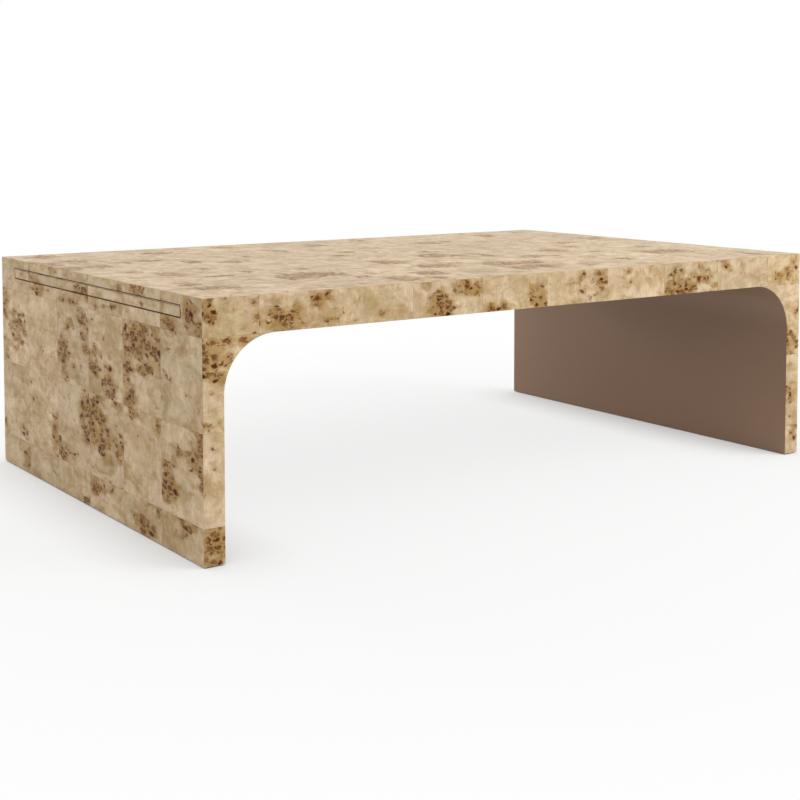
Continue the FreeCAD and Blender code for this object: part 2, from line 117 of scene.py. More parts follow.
# Places of the burl clusters, read from the photograph. Millimetres across from the left edge of the face
# and down from its top edge, as one looks at it: middle across, middle down, half width, half height,
# richness.
END_BURLS = (
    (276, 6, 18, 8, 0.8), (157, 24, 8, 8, 0.8), (212, 48, 28, 12, 0.9), (328, 54, 14, 8, 0.8),
    (376, 58, 16, 8, 0.8), (443, 35, 38, 13, 1.0), (600, 11, 9, 9, 0.9), (668, 8, 26, 10, 0.9),
    (764, 25, 10, 10, 0.7), (870, 25, 24, 18, 0.9), (899, 48, 16, 14, 1.0), (800, 54, 28, 12, 1.0),
    (565, 50, 36, 10, 0.6), (16, 95, 18, 30, 0.9), (84, 146, 38, 32, 0.8), (19, 200, 18, 14, 0.8),
    (328, 162, 24, 27, 1.0), (366, 102, 14, 13, 0.7), (433, 95, 20, 20, 0.9), (443, 130, 12, 20, 0.9),
    (385, 190, 30, 24, 0.4), (350, 203, 10, 7, 0.8), (478, 156, 26, 26, 0.9), (552, 190, 28, 18, 0.9),
    (694, 95, 70, 38, 1.0), (748, 92, 16, 32, 1.0), (703, 133, 16, 16, 0.9), (626, 152, 16, 26, 0.9),
    (636, 197, 26, 20, 0.8), (645, 222, 18, 8, 0.9), (116, 352, 20, 8, 0.8), (6, 346, 10, 13, 0.9),
    (144, 232, 8, 8, 0.7), (286, 295, 13, 8, 0.8), (302, 324, 29, 26, 0.9), (321, 349, 38, 16, 0.9),
    (450, 267, 30, 36, 1.0), (488, 267, 40, 34, 1.0), (527, 305, 23, 23, 1.0), (594, 305, 16, 23, 1.0),
    (581, 222, 20, 12, 0.8), (613, 343, 10, 10, 0.9), (751, 232, 10, 10, 0.9), (790, 318, 26, 30, 1.0),
    (828, 257, 10, 10, 0.8), (896, 255, 20, 34, 0.9), (905, 285, 14, 20, 0.9), (805, 355, 16, 8, 0.8),
    (138, 403, 13, 26, 0.9), (116, 393, 8, 8, 0.6), (485, 381, 26, 16, 0.9), (559, 375, 20, 11, 0.9),
    (443, 419, 20, 10, 0.8), (687, 410, 38, 20, 0.9), (739, 378, 20, 14, 0.8), (848, 378, 20, 13, 0.9),
    (880, 371, 14, 8, 0.9),
)
SIDE_BURLS = (
    (8, 10, 12, 14, 1.0), (12, 30, 10, 10, 0.9), (150, 42, 34, 20, 1.0), (172, 52, 20, 12, 0.9),
    (222, 14, 18, 12, 1.0), (245, 54, 12, 8, 1.0), (92, 25, 20, 30, 0.3), (467, 42, 24, 20, 1.0),
    (513, 11, 14, 10, 0.9), (546, 18, 14, 11, 0.9), (578, 57, 14, 8, 0.9), (606, 58, 14, 8, 0.9),
    (684, 42, 18, 16, 0.9), (700, 50, 14, 12, 0.8), (846, 18, 18, 18, 0.9), (814, 30, 24, 20, 0.4),
    (925, 11, 10, 7, 0.7), (1059, 42, 28, 18, 1.0), (1090, 48, 16, 12, 0.9), (1124, 28, 18, 14, 0.9),
    (1156, 52, 12, 10, 0.8), (1193, 10, 14, 8, 0.8), (1355, 46, 10, 10, 0.8), (1383, 42, 14, 12, 0.9),
    (1405, 20, 10, 18, 0.7), (18, 92, 20, 24, 1.0), (22, 124, 16, 14, 0.9), (6, 118, 8, 10, 0.8),
    (60, 78, 20, 10, 0.6), (12, 205, 12, 8, 0.5), (30, 212, 8, 6, 0.6), (20, 395, 20, 22, 1.0),
    (10, 420, 14, 10, 0.9), (1388, 170, 8, 12, 0.9), (1400, 196, 16, 18, 0.9), (1412, 120, 8, 16, 0.7),
    (1395, 300, 14, 16, 0.8), (1408, 380, 12, 14, 0.8),
)
TOP_BURLS = (
    (14, 231, 20, 28, 0.8), (83, 203, 18, 24, 0.8), (20, 325, 24, 30, 0.9), (88, 325, 22, 28, 0.9),
    (148, 277, 18, 16, 0.8), (212, 268, 20, 20, 0.8), (268, 333, 18, 28, 0.9), (342, 388, 24, 14, 0.7),
    (92, 462, 14, 18, 0.8), (120, 545, 24, 30, 0.9), (222, 490, 16, 16, 0.8), (254, 583, 20, 18, 0.8),
    (185, 610, 26, 18, 0.9), (583, 398, 22, 18, 0.9), (546, 222, 20, 26, 0.8), (795, 420, 24, 18, 0.8),
    (939, 222, 26, 26, 0.8), (1003, 203, 18, 18, 0.7), (1068, 268, 18, 18, 0.7), (749, 499, 36, 34, 0.9),
    (786, 536, 20, 20, 0.8), (860, 546, 20, 34, 0.9), (564, 564, 44, 30, 0.9), (592, 592, 22, 18, 0.9),
    (624, 684, 34, 30, 1.0), (370, 592, 16, 16, 0.7), (684, 666, 20, 16, 0.8), (916, 629, 26, 22, 0.9),
    (953, 647, 18, 14, 0.8), (1045, 546, 26, 24, 0.9), (1110, 610, 28, 18, 0.9), (1147, 490, 18, 16, 0.8),
    (74, 721, 18, 26, 0.9), (79, 768, 26, 34, 0.9), (111, 795, 18, 18, 0.9), (324, 703, 54, 36, 1.0),
    (264, 721, 22, 28, 0.9), (393, 777, 14, 18, 0.8), (439, 740, 16, 16, 0.7), (425, 851, 28, 36, 0.9),
    (490, 870, 18, 18, 0.9), (532, 795, 28, 32, 1.0), (721, 814, 28, 30, 0.9), (786, 805, 28, 28, 0.9),
    (814, 740, 38, 28, 0.9), (749, 730, 36, 36, 0.9), (888, 832, 18, 18, 0.8), (999, 712, 16, 16, 0.7),
    (1027, 786, 24, 18, 0.9), (1193, 703, 34, 36, 0.9), (1258, 703, 28, 36, 0.9), (1341, 860, 18, 28, 0.9),
    (1276, 583, 18, 18, 0.8), (70, 60, 24, 30, 0.8), (300, 110, 30, 26, 0.8), (480, 60, 20, 20, 0.7),
    (700, 140, 34, 24, 0.8), (860, 60, 20, 26, 0.8), (1180, 120, 30, 30, 0.9), (1330, 60, 24, 20, 0.7),
    (1350, 330, 30, 34, 0.8), (1210, 400, 26, 20, 0.8), (420, 300, 20, 18, 0.6), (640, 320, 18, 24, 0.7),
)
# A cluster is full up to (rise - 1) / slope of its half size, and gone at rise / slope
CLUSTER_RISE, CLUSTER_SLOPE = 1.7, 0.9

# How sheets differ: seeds of their chance, greatest turn in degrees, the stretch of
# burl that they are cut from, spread of their tone, and stain of a plain seam
SEEDS = {"top": 11, "front": 21, "back": 22, "left_end": 30, "right_end": 32,
         "left_leaf": 40, "right_leaf": 42}
SHEET_TURN = 7
FLITCH_ENDS = (1, 9)
TONE_SPREAD = 0.55
SEAM_STAIN = 0.3


def linear(code):
    """A colour written as an sRGB hex code, turned to linear."""
    parts = [int(code[at:at + 2], 16) / 255 for at in (0, 2, 4)]
    return tuple(p / 12.92 if p <= 0.04045 else ((p + 0.055) / 1.055) ** 2.4 for p in parts)


def length(name, description, default):
    return bpy.props.FloatProperty(
        name=name, description=description, default=default, unit="LENGTH", precision=5)


def factor(name, description, default):
    return bpy.props.FloatProperty(name=name, description=description, default=default, min=1.0)


def colour(name, description, code):
    return bpy.props.FloatVectorProperty(
        name=name, description=description, default=linear(code), size=3, subtype="COLOR")


class TableSizes(bpy.types.PropertyGroup):
    square: length("Veneer square", "Side of one sheet of veneer", 0.1524)
    mesh_step: length("Mesh step", "Spacing of the points that carry the burl's figure", 0.0127)
    arris: length("Arris", "Easing of the outer veneered edges", 0.0006)
    joint: length("Joint", "Depth of the hairline where two sheets meet", 0.0001)
    glue_line: length("Glue line", "Width of the darkened edge of a sheet", 0.0007)
    leaf_gap: length("Leaf gap", "Shadow gap round the leaf's front", 0.001)
    # The darkening of the veneer beside the leaf's gap is painted shade, and it fades out over this width
    gap_shade_width: length("Leaf rim", "Width over which the stain beside that gap fades", 0.0014)
    eye: length("Eye", "Spacing of the large burl eyes", 0.0115)
    pip: length("Pip", "Spacing of the small burl eyes", 0.0065)
    speck: length("Speck", "Spacing of the finest specks", 0.0038)
    swirl: length("Swirl", "Size of the bends in the fibres", 0.055)
    streak: length("Streak", "Width of a fibre streak, drawn coarse enough to show", 0.0026)
    flake: length("Flake", "Size of the flakes in the core boards", 0.0026)
    peel: length("Lacquer ripple", "Spacing of the ripple that spraying leaves", 0.004)
    top_slant: factor("Top slant", "How far the slice stretches the eyes across the top's sheets", 1.0)
    side_slant: factor("Side slant", "The same on the front and the back", 1.35)
    end_slant: factor("End slant", "The same on both ends", 1.9)
    side_rich: factor("Side richness", "How much denser the eyes are on the front and the back", 1.06)
    slide_sheet: length("Slide sheet", "Thickness of the slide's steel", 0.001)
    slide_bend: length("Slide bend", "Radius of the slide's two square corners", 0.0012)
    ball: length("Ball", "Radius of a slide ball", 0.0015)
    ball_play: length("Ball play", "Gap between a ball and its race", 0.0001)
    ball_inset: length("Ball inset", "Middle of the balls from the rail's face", 0.0046)
    slide_stop: length("Slide stop", "Thickness of the tabs that stop the cage", 0.001)
    stop_height: length("Stop height", "Height of those tabs", 0.0044)
    cage_sheet: length("Cage sheet", "Thickness of the strip that spaces the balls", 0.0005)
    screw_head: length("Screw head", "Radius of the heads that hold the slide to the leaf", 0.0024)
    screw_height: length("Screw height", "Height of those heads", 0.001)
    latch_body: length("Latch body", "Radius of the touch latch's sleeve", 0.005)
    latch_collar: length("Latch collar", "Thickness of the sleeve's collar", 0.0015)
    latch_floor: length("Latch floor", "Wall behind the plunger's bore", 0.003)
    glide: length("Glide", "Radius of the nylon glides", 0.01)
    spike: length("Spike", "Side of the spike that holds a glide", 0.004)
    screw_shares: bpy.props.FloatVectorProperty(
        name="Screw places", description="Shares of the slide's length", size=3,
        default=(0.12, 0.5, 0.92), min=0.0, max=1.0)
    outer_lip: bpy.props.FloatProperty(
        name="Outer lip", description="Degrees that the fixed member curls round its balls", default=110.0)
    inner_lip: bpy.props.FloatProperty(
        name="Inner lip", description="Degrees that the moving member curls round its balls", default=80.0)
    balls_per_race: bpy.props.IntProperty(
        name="Balls", description="Balls in each race of a slide", default=4, min=2)
    round_sides: bpy.props.IntProperty(
        name="Round sides", description="Sides of a small round piece", default=48, min=12)
    bend_steps: bpy.props.IntProperty(
        name="Bend steps", description="Straight steps in a bend of the slide's steel", default=8, min=3)
    arch_steps: bpy.props.IntProperty(
        name="Arch steps", description="Straight steps in a quarter arch", default=48, min=8)


class TableColours(bpy.types.PropertyGroup):
    cream: colour("Burl cream", "Palest ground of the burl", "DBC5A4")
    tan: colour("Burl tan", "Darker ground of the burl", "B4966C")
    amber: colour("Burl amber", "Golden ground among the eyes", "9E783B")
    olive: colour("Burl olive", "Greenish gold tinges of the ground", "A08E5A")
    blush: colour("Burl blush", "Pinkish tinges of the ground", "DBBDA0")
    eye: colour("Burl eye", "Flesh of an eye", "8A5A34")
    ring: colour("Burl ring", "Ring and heart of an eye", "461A06")
    # This colour darkens a sheet's edge: a dark glue joint at a plain seam, and painted shade beside the
    # leaf's shadow gap
    glue: colour("Glue line", "Darkened edge of a veneer sheet", "462A10")
    taupe: colour("Taupe", "Lacquer of the arch", "8C705A")
    board: colour("Board", "Pale flakes of the core boards", "B79468")
    flake: colour("Flake", "Darker flakes of the core boards", "8A6842")
    pore: colour("Pore", "Pores between the flakes", "4E3820")
    beech: colour("Beech", "Lippings and tenons", "C79E72")
    zinc: colour("Zinc", "Plating of the slides", "B9BBBC")
    black_nylon: colour("Black nylon", "Glides", "1E1E1F")
    grey_nylon: colour("Grey nylon", "Touch latches", "8C8E90")
    floor: colour("Floor", "Studio floor", "DCDCDB")


# Modelling helpers

def select_nothing():
    """Leaves edit mode, with nothing selected."""
    if bpy.context.mode != "OBJECT":
        bpy.ops.object.mode_set(mode="OBJECT")
    bpy.ops.object.select_all(action="DESELECT")


def start_box(name, low, high):
    """A box from corner to corner, with its place in its mesh."""
    select_nothing()
    low, high = Vector(low), Vector(high)
    bpy.ops.mesh.primitive_cube_add(size=1, location=(low + high) / 2)
    piece = bpy.context.object
    piece.name = piece.data.name = name
    piece.scale = high - low
    bpy.ops.object.transform_apply(location=True, rotation=False, scale=True)
    return piece


def start_rod(name, foot, tip, radius, sides):
    """A round rod from the middle of one end to the middle of the other."""
    select_nothing()
    foot, run = Vector(foot), Vector(tip) - Vector(foot)
    bpy.ops.mesh.primitive_cylinder_add(
        vertices=sides, radius=radius, depth=run.length, location=foot + run / 2,
        rotation=run.to_track_quat("Z", "Y").to_euler())
    piece = bpy.context.object
    piece.name = piece.data.name = name
    bpy.ops.object.transform_apply(location=True, rotation=True, scale=True)
    return piece


def pick(piece, kind, test):
    """In edit mode, selects only the faces or edges that pass a test."""
    bpy.ops.mesh.select_mode(type=kind)
    bpy.ops.mesh.select_all(action="DESELECT")
    shape = bmesh.from_edit_mesh(piece.data)
    parts = shape.faces if kind == "FACE" else shape.edges
    for part in parts:
        part.select_set(test(part))
    bmesh.update_edit_mesh(piece.data)


def only(piece):
    """Makes a piece the one that is selected and active, in object mode."""
    select_nothing()
    bpy.context.view_layer.objects.active = piece
    piece.select_set(True)


def edit(piece):
    """Opens one piece in edit mode."""
    only(piece)
    bpy.ops.object.mode_set(mode="EDIT")


def ease(piece, width, segments, test):
    """Rounds the edges whose two ends pass a test."""
    pick(piece, "EDGE", lambda edge: all(test(corner.co) for corner in edge.verts))
    bpy.ops.mesh.bevel(offset=width, segments=segments, affect="EDGES")


def apply(piece, kind, **settings):
    """Adds a modifier with its settings and applies it."""
    only(piece)
    modifier = piece.modifiers.new(kind, kind)
    for name, value in settings.items():
        setattr(modifier, name, value)
    bpy.ops.object.modifier_apply(modifier=modifier.name)


def cut_out(piece, cutter):
    """Cuts a solid out of a piece, and removes the solid."""
    apply(piece, "BOOLEAN", operation="DIFFERENCE", object=cutter, solver="EXACT")
    bpy.data.objects.remove(cutter)


def keep_face(piece, axis, way):
    """Deletes every face but those that look one way, and stays in edit mode."""
    edit(piece)
    pick(piece, "FACE", lambda face: face.normal[axis] * way < square_on)
    bpy.ops.mesh.delete(type="FACE")


def drop_faces(piece, test):
    """Deletes the faces whose middles pass a test."""
    pick(piece, "FACE", lambda face: test(face.calc_center_median()))
    bpy.ops.mesh.delete(type="FACE")


def cut_across(axis, places, catch=touching / 10):
    """Cuts the mesh in edit mode along planes square to an axis. A cut runs through a
    point that is nearer to it than the catch, so that no sliver is left."""
    normal = [float(axis == other) for other in (X, Y, Z)]
    for place in places:
        bpy.ops.mesh.select_all(action="SELECT")
        bpy.ops.mesh.bisect(
            plane_co=[place * part for part in normal], plane_no=normal, threshold=catch)


def steps(low, high, step, origin=0.0):
    """Places between two ends at whole steps from an origin."""
    first = math.ceil((low - origin + touching) / step)
    last = math.floor((high - origin - touching) / step)
    return [origin + number * step for number in range(first, last + 1)]


def seams(low, high, step, origin=0.0):
    """The same places with both ends."""
    return [low] + steps(low, high, step, origin) + [high]


def grid_of(lines, sizes):
    """Where to cut a face so that it has points to carry the burl's figure: at every seam
    and beside it, and at whole steps between."""
    inner = lines[1:-1]
    beside = [line + way * sizes.glue_line for line in inner for way in (-1, 1)]
    spare = [place for place in steps(lines[0], lines[-1], sizes.mesh_step)
             if min(abs(place - line) for line in lines) > sizes.glue_line]
    return inner + beside + spare


def between(value, lines):
    """The two neighbouring lines that a value lies between."""
    for low, high in zip(lines, lines[1:]):
        if value < high:
            return low, high
    return lines[-2], lines[-1]


def mirrored(piece, name, x_way, y_way):
    """A copy of a piece with its own mesh, at the other end or side of the table."""
    only(piece)
    bpy.ops.object.duplicate()
    other = bpy.context.object
    other.name = other.data.name = name
    other.scale = (x_way, y_way, 1)
    bpy.ops.object.transform_apply(location=False, rotation=False, scale=True)
    outwards(other)
    return other


def outwards(piece):
    """Merges what meets, and turns every face to look out of the solid."""
    edit(piece)
    bpy.ops.mesh.select_all(action="SELECT")
    bpy.ops.mesh.remove_doubles(threshold=touching / 10)
    bpy.ops.mesh.normals_make_consistent(inside=False)
    bpy.ops.object.mode_set(mode="OBJECT")


def join(piece, *others):
    only(piece)
    for other in others:
        other.select_set(True)
    bpy.ops.object.join()


def finish(piece, node):
    """Gives a piece its finish, and lets it stand for a CAD node and ride with it."""
    only(piece)
    bpy.ops.object.shade_smooth_by_angle(angle=math.radians(smooth_turn))
    coat(piece, slot_of[node])
    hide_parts(node)
    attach(piece, frame["nodes"][node]["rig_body"])


def finish_pair(piece, name, node):
    """Finishes a piece of the right end, and its mirror image at the left end."""
    other = mirrored(piece, "left_" + name, LEFT, 1)
    finish(piece, "right_" + node)
    finish(other, "left_" + node)


def coat(piece, slot):
    """Gives a piece the finish of a material slot, and no other."""
    piece.data.materials.clear()
    piece.data.materials.append(bpy.data.materials[SLOT_FINISHES[slot]])


# Veneer

def joint_reach():
    """How near to a seam the points of its joint lie: past the joint's bevel, and short
    of the next cut."""
    return 3 * bpy.context.scene.table_sizes.joint


class Face:
    """A veneered face: the axes across and along its fibres, the way it looks, and its
    seams. rows are the seams along the fibre axis, and columns gives those across it at
    a place. at_gap says whether a point is at the rim of the leaf's shadow gap."""

    def __init__(self, across, along, way, rows, columns, at_gap=lambda co: False):
        self.across, self.along = across, along
        self.axis = 3 - across - along
        self.way = way
        self.rows = rows
        self.columns = columns
        self.at_gap = at_gap

    def sheet(self, place):
        row = between(place[self.along], self.rows)
        middle = (row[0] + row[1]) / 2
        return row + between(place[self.across], self.columns(middle))

    def seam_near(self, place, sheet, reach):
        """Whether a place is on an edge that its sheet shares with another."""
        edges = self.columns((sheet[0] + sheet[1]) / 2)
        inner = [line for line in sheet[:2] if line not in (self.rows[0], self.rows[-1])]
        beside = [line for line in sheet[2:] if line not in (edges[0], edges[-1])]
        return (any(abs(place[self.along] - line) < reach for line in inner)
                or any(abs(place[self.across] - line) < reach for line in beside))


def lay_sheets(piece, face, sizes, grid, is_outer):
    """Cuts a flat outline, in edit mode, into sheets of veneer with their thickness,
    their hairline joints and their eased outer edges."""
    for axis in (face.across, face.along):
        cut_across(axis, grid[axis], sizes.glue_line / 2)
    pick(piece, "EDGE", lambda edge: len(
        {face.sheet(side.calc_center_median()) for side in edge.link_faces}) > 1)
    bpy.ops.mesh.edge_split(type="EDGE")
    apply(piece, "SOLIDIFY", thickness=veneer, offset=-1)
    edit(piece)

    def at_edge(edge):
        facing = [side.normal[face.axis] * face.way > square_on for side in edge.link_faces]
        return len(facing) == 2 and facing[0] != facing[1]

    def outer(edge):
        return at_edge(edge) and all(is_outer(corner.co) for corner in edge.verts)

    pick(piece, "EDGE", lambda edge: at_edge(edge) and not outer(edge))
    bpy.ops.mesh.bevel(offset=sizes.joint, segments=1, affect="EDGES", clamp_overlap=False)
    pick(piece, "EDGE", outer)
    bpy.ops.mesh.bevel(offset=sizes.arris, segments=3, affect="EDGES", clamp_overlap=False)
    bpy.ops.object.mode_set(mode="OBJECT")


def sheets_of_points(piece, face):
    """The sheet that each point of a mesh belongs to, through its flat faces first."""
    mesh = piece.data
    sheet_of = {}
    later = []
    for flat in mesh.polygons:
        if abs(flat.normal[face.axis]) > square_on:
            sheet = face.sheet(flat.center)
            for point in flat.vertices:
                sheet_of.setdefault(point, sheet)
        else:
            later.append(flat)
    while len(sheet_of) < len(mesh.vertices):
        before = len(sheet_of)
        for side in later:
            known = [point for point in side.vertices if point in sheet_of]
            if known:
                for point in side.vertices:
                    sheet_of.setdefault(point, sheet_of[known[0]])
        if len(sheet_of) == before:
            raise RuntimeError(piece.name + " has points that belong to no sheet")
    return sheet_of


def figure_sheets(piece, face, burls, seed, slant):
    """Gives every sheet its own place and turn in the burl it was cut from, its tone,
    and the clusters of eyes whose middles lie on it. A slanting slice stretches the
    figure across the sheet."""
    mesh = piece.data
    near = joint_reach()
    chance = random.Random(seed)
    sheet_of = sheets_of_points(piece, face)
    cuts = {}
    for sheet in sorted(set(sheet_of.values())):
        turn = math.radians(chance.uniform(-SHEET_TURN, SHEET_TURN))
        start = [chance.uniform(*FLITCH_ENDS) for axis in (X, Y, Z)]
        cuts[sheet] = (turn, start, chance.choice((-1, 1)), chance.gauss(0, TONE_SPREAD))
    clusters = {}
    for burl in burls:
        place = Vector((0, 0, 0))
        place[face.across], place[face.along] = burl[:2]
        clusters.setdefault(face.sheet(place), []).append(burl)
    flitch, figure, tone, rim = [], [], [], []
    for number, point in enumerate(mesh.vertices):
        sheet = sheet_of[number]
        turn, start, flip, lightness = cuts[sheet]
        across, along = point.co[face.across], point.co[face.along]
        u = (across - sheet[2]) * flip / slant
        v = along - sheet[0]
        flitch.extend((
            start[0] + u * math.cos(turn) - v * math.sin(turn),
            start[1] + u * math.sin(turn) + v * math.cos(turn),
            start[2]))
        reach = 0.0
        for a, b, half_a, half_b, richness in clusters.get(sheet, ()):
            off = math.hypot((across - a) / half_a, (along - b) / half_b)
            reach = max(reach, richness * min(1.0, CLUSTER_RISE - CLUSTER_SLOPE * off))
        figure.append(reach)
        tone.append(lightness)
        at_seam = face.seam_near(point.co, sheet, near)
        # rim darkens a sheet's edge: painted shade beside the leaf's shadow gap, and a dark glue joint at
        # a plain seam
        rim.append(1.0 if face.at_gap(point.co) else SEAM_STAIN * at_seam)
    mesh.attributes.new("flitch", "FLOAT_VECTOR", "POINT").data.foreach_set("vector", flitch)
    for name, values in (("figure", figure), ("tone", tone), ("rim", rim)):
        mesh.attributes.new(name, "FLOAT", "POINT").data.foreach_set("value", values)


def placed(burls, left, top, across_way=1):
    """The clusters of a table of places, as places in metres on a face. left and top
    are the face's edges, and across_way is -1 where its left edge is the greater end."""
    return [
        (left + across_way * across * MILLIMETRE, top - down * MILLIMETRE,
         half_across * MILLIMETRE, half_down * MILLIMETRE, richness)
        for across, down, half_across, half_down, richness in burls]


def burls_on_top():
    """The top's clusters, on a face whose fibres run along the table."""
    return [(down, across, half_down, half_across, richness)
            for across, down, half_across, half_down, richness
            in placed(TOP_BURLS, -end_x, side_y)]


def burls_on_end(side):
    return placed(END_BURLS, -side * side_y, top_z, side)


class TABLE_OT_top_veneer(bpy.types.Operator):
    """Lay the veneer squares over the top"""
    bl_idname = "table.top_veneer"
    bl_label = "Top veneer"

    def execute(self, context):
        sizes = context.scene.table_sizes
        piece = start_box("top_sheets", (-end_x, -side_y, core_z), (end_x, side_y, top_z))
        keep_face(piece, Z, 1)
        columns = seams(-side_y, side_y, sizes.square)
        rows = seams(-end_x, end_x, sizes.square)
        face = Face(Y, X, 1, rows, lambda place: columns)
        grid = {X: grid_of(rows, sizes), Y: grid_of(columns, sizes)}

        def is_outer(co):
            return abs(abs(co.x) - end_x) < touching or abs(abs(co.y) - side_y) < touching

        lay_sheets(piece, face, sizes, grid, is_outer)
        figure_sheets(piece, face, burls_on_top(), SEEDS["top"], sizes.top_slant)
        finish(piece, "top_veneer")
        return {"FINISHED"}


def opening():
    """The arched opening as a solid, to cut away."""
    beyond = side_y * 2
    cutter = start_box("opening", (-leg_inside, -beyond, -foot_z), (leg_inside, beyond, soffit_z))
    edit(cutter)
    pick(cutter, "EDGE", lambda edge: all(
        abs(corner.co.z - soffit_z) < touching for corner in edge.verts)
        and abs(edge.verts[0].co.x - edge.verts[1].co.x) < touching)
    bpy.ops.mesh.bevel(
        offset=arch_radius, segments=bpy.context.scene.table_sizes.arch_steps, affect="EDGES")
    return cutter


class TABLE_OT_side_veneers(bpy.types.Operator):
    """Lay the veneer squares over the front and the back, round the arch"""
    bl_idname = "table.side_veneers"
    bl_label = "Front and back veneers"

    def execute(self, context):
        sizes = context.scene.table_sizes
        rows = seams(foot_z, core_z, sizes.square, soffit_z)
        band = seams(-end_x, end_x, sizes.square)

        def columns(height):
            return band if height > soffit_z else [-end_x, 0.0, end_x]

        # Points between two corners of the arc lie on a chord, a little off the circle
        off_arc = 10 * touching

        def is_outer(co):
            x = abs(co.x)
            on_arc = (x > arch_x and co.z > spring_z and abs(
                math.hypot(x - arch_x, co.z - spring_z) - arch_radius) < off_arc)
            return (abs(x - end_x) < touching or abs(co.z - foot_z) < touching
                    or abs(x - leg_inside) < touching and co.z < spring_z + touching
                    or abs(co.z - soffit_z) < touching and x < arch_x + touching or on_arc)

        grid = {X: grid_of(band, sizes), Z: grid_of(rows, sizes)}
        for way, name in ((-1, "front"), (1, "back")):
            piece = start_box(name + "_sheets", (-end_x, -side_y, foot_z), (end_x, side_y, core_z))
            cut_out(piece, opening())
            keep_face(piece, Y, way)
            face = Face(X, Z, way, rows, columns)
            lay_sheets(piece, face, sizes, grid, is_outer)
            burls = [(*place, richness * sizes.side_rich) for *place, richness
                     in placed(SIDE_BURLS, way * end_x, top_z, -way)]
            figure_sheets(piece, face, burls, SEEDS[name], sizes.side_slant)
            finish(piece, name + "_veneer")
        return {"FINISHED"}


class TABLE_OT_end_veneers(bpy.types.Operator):
    """Lay the veneer squares over both ends, round the leaf's slot"""
    bl_idname = "table.end_veneers"
    bl_label = "End veneers"

    def execute(self, context):
        sizes = context.scene.table_sizes
        gap, gap_shade_width = sizes.leaf_gap, sizes.gap_shade_width
        slot_y = leaf_high.y + gap
        slot_z = (leaf_low.z - gap, leaf_top + gap)
        rows = seams(foot_z, core_z, sizes.square, soffit_z)
        columns = seams(-core_y, core_y, sizes.square)

        def in_slot(co):
            return abs(co.y) < slot_y and slot_z[0] < co.z < slot_z[1]

        def is_outer(co):
            return abs(co.z - foot_z) < touching

        near = joint_reach()

        # Points by the slot take painted shade beside the leaf's gap
        def at_gap(co):
            return abs(co.y) < slot_y + near and slot_z[0] - near < co.z < slot_z[1] + near

        grid = {Y: grid_of(columns, sizes), Z: grid_of(rows, sizes)}
        grid[Y] += [-slot_y - gap_shade_width, slot_y + gap_shade_width]
        grid[Z] += [slot_z[0] - gap_shade_width, slot_z[1] + gap_shade_width]
        for side, name in SIDES.items():
            piece = start_box(name + "_end_sheets", (-end_x, -core_y, foot_z), (end_x, core_y, core_z))
            keep_face(piece, X, side)
            cut_across(Y, (-slot_y, slot_y))
            cut_across(Z, slot_z)
            drop_faces(piece, in_slot)
            face = Face(Y, Z, side, rows, lambda place: columns, at_gap)
            lay_sheets(piece, face, sizes, grid, is_outer)
            figure_sheets(piece, face, burls_on_end(side), SEEDS[name + "_end"], sizes.end_slant)
            finish(piece, name + "_end_veneer")
        return {"FINISHED"}


class TABLE_OT_leaf_veneers(bpy.types.Operator):
    """Lay the veneer over the top and the front of both leaves"""
    bl_idname = "table.leaf_veneers"
    bl_label = "Leaf veneers"

    def execute(self, context):
        sizes = context.scene.table_sizes
        leaf_y, front_back = leaf_high.y, leaf_low.x
        columns = seams(-leaf_y, leaf_y, sizes.square)

        def beside_board(co):
            return abs(co.x) < front_back and abs(co.y) > leaf_board_y

        for side, name in SIDES.items():
            top = start_box(name + "_leaf_sheets", *self.corners(side, leaf_top))
            keep_face(top, Z, 1)
            cut_across(X, (side * front_back,))
            cut_across(Y, (-leaf_board_y, leaf_board_y))
            drop_faces(top, beside_board)
            ends = sorted((side * leaf_back, side * end_x))
            rows = seams(*ends, sizes.square, side * end_x)
            face = Face(Y, X, 1, rows, lambda place: columns)
            grid = {X: grid_of(rows, sizes), Y: grid_of(columns, sizes)}
            lay_sheets(top, face, sizes, grid, self.on_top_edge)
            figure_sheets(top, face, burls_on_top(), SEEDS[name + "_leaf"], sizes.top_slant)

            front = start_box(name + "_leaf_edge", *self.corners(side, leaf_high.z))
            keep_face(front, X, side)
            rows = [leaf_low.z, leaf_high.z]
            face = Face(Y, Z, side, rows, lambda place: columns, self.on_front_edge)
            grid = {Y: grid_of(columns, sizes), Z: grid_of(rows, sizes)}
            # Cuts where the painted shade beside the leaf's gap fades out
            grid[Y] += [sizes.gap_shade_width - leaf_y, leaf_y - sizes.gap_shade_width]
            grid[Z] += [leaf_low.z + sizes.gap_shade_width, leaf_high.z - sizes.gap_shade_width]
            lay_sheets(front, face, sizes, grid, lambda co: False)
            figure_sheets(front, face, burls_on_end(side), SEEDS[name + "_end"], sizes.end_slant)

            join(top, front)
            finish(top, name + "_leaf_veneer")
        return {"FINISHED"}

    @staticmethod
    def corners(side, top):
        ends = sorted((side * leaf_back, side * end_x))
        return (ends[0], -leaf_high.y, leaf_low.z), (ends[1], leaf_high.y, top)

    @staticmethod
    def on_top_edge(co):
        return abs(abs(co.x) - end_x) < touching or abs(abs(co.y) - leaf_high.y) < touching

    # Points at the edges of the leaf's front, which take painted shade beside its gap
    @staticmethod
    def on_front_edge(co):
        near = joint_reach()
        return (abs(abs(co.y) - leaf_high.y) < near
                or min(abs(co.z - leaf_low.z), abs(co.z - leaf_high.z)) < near)


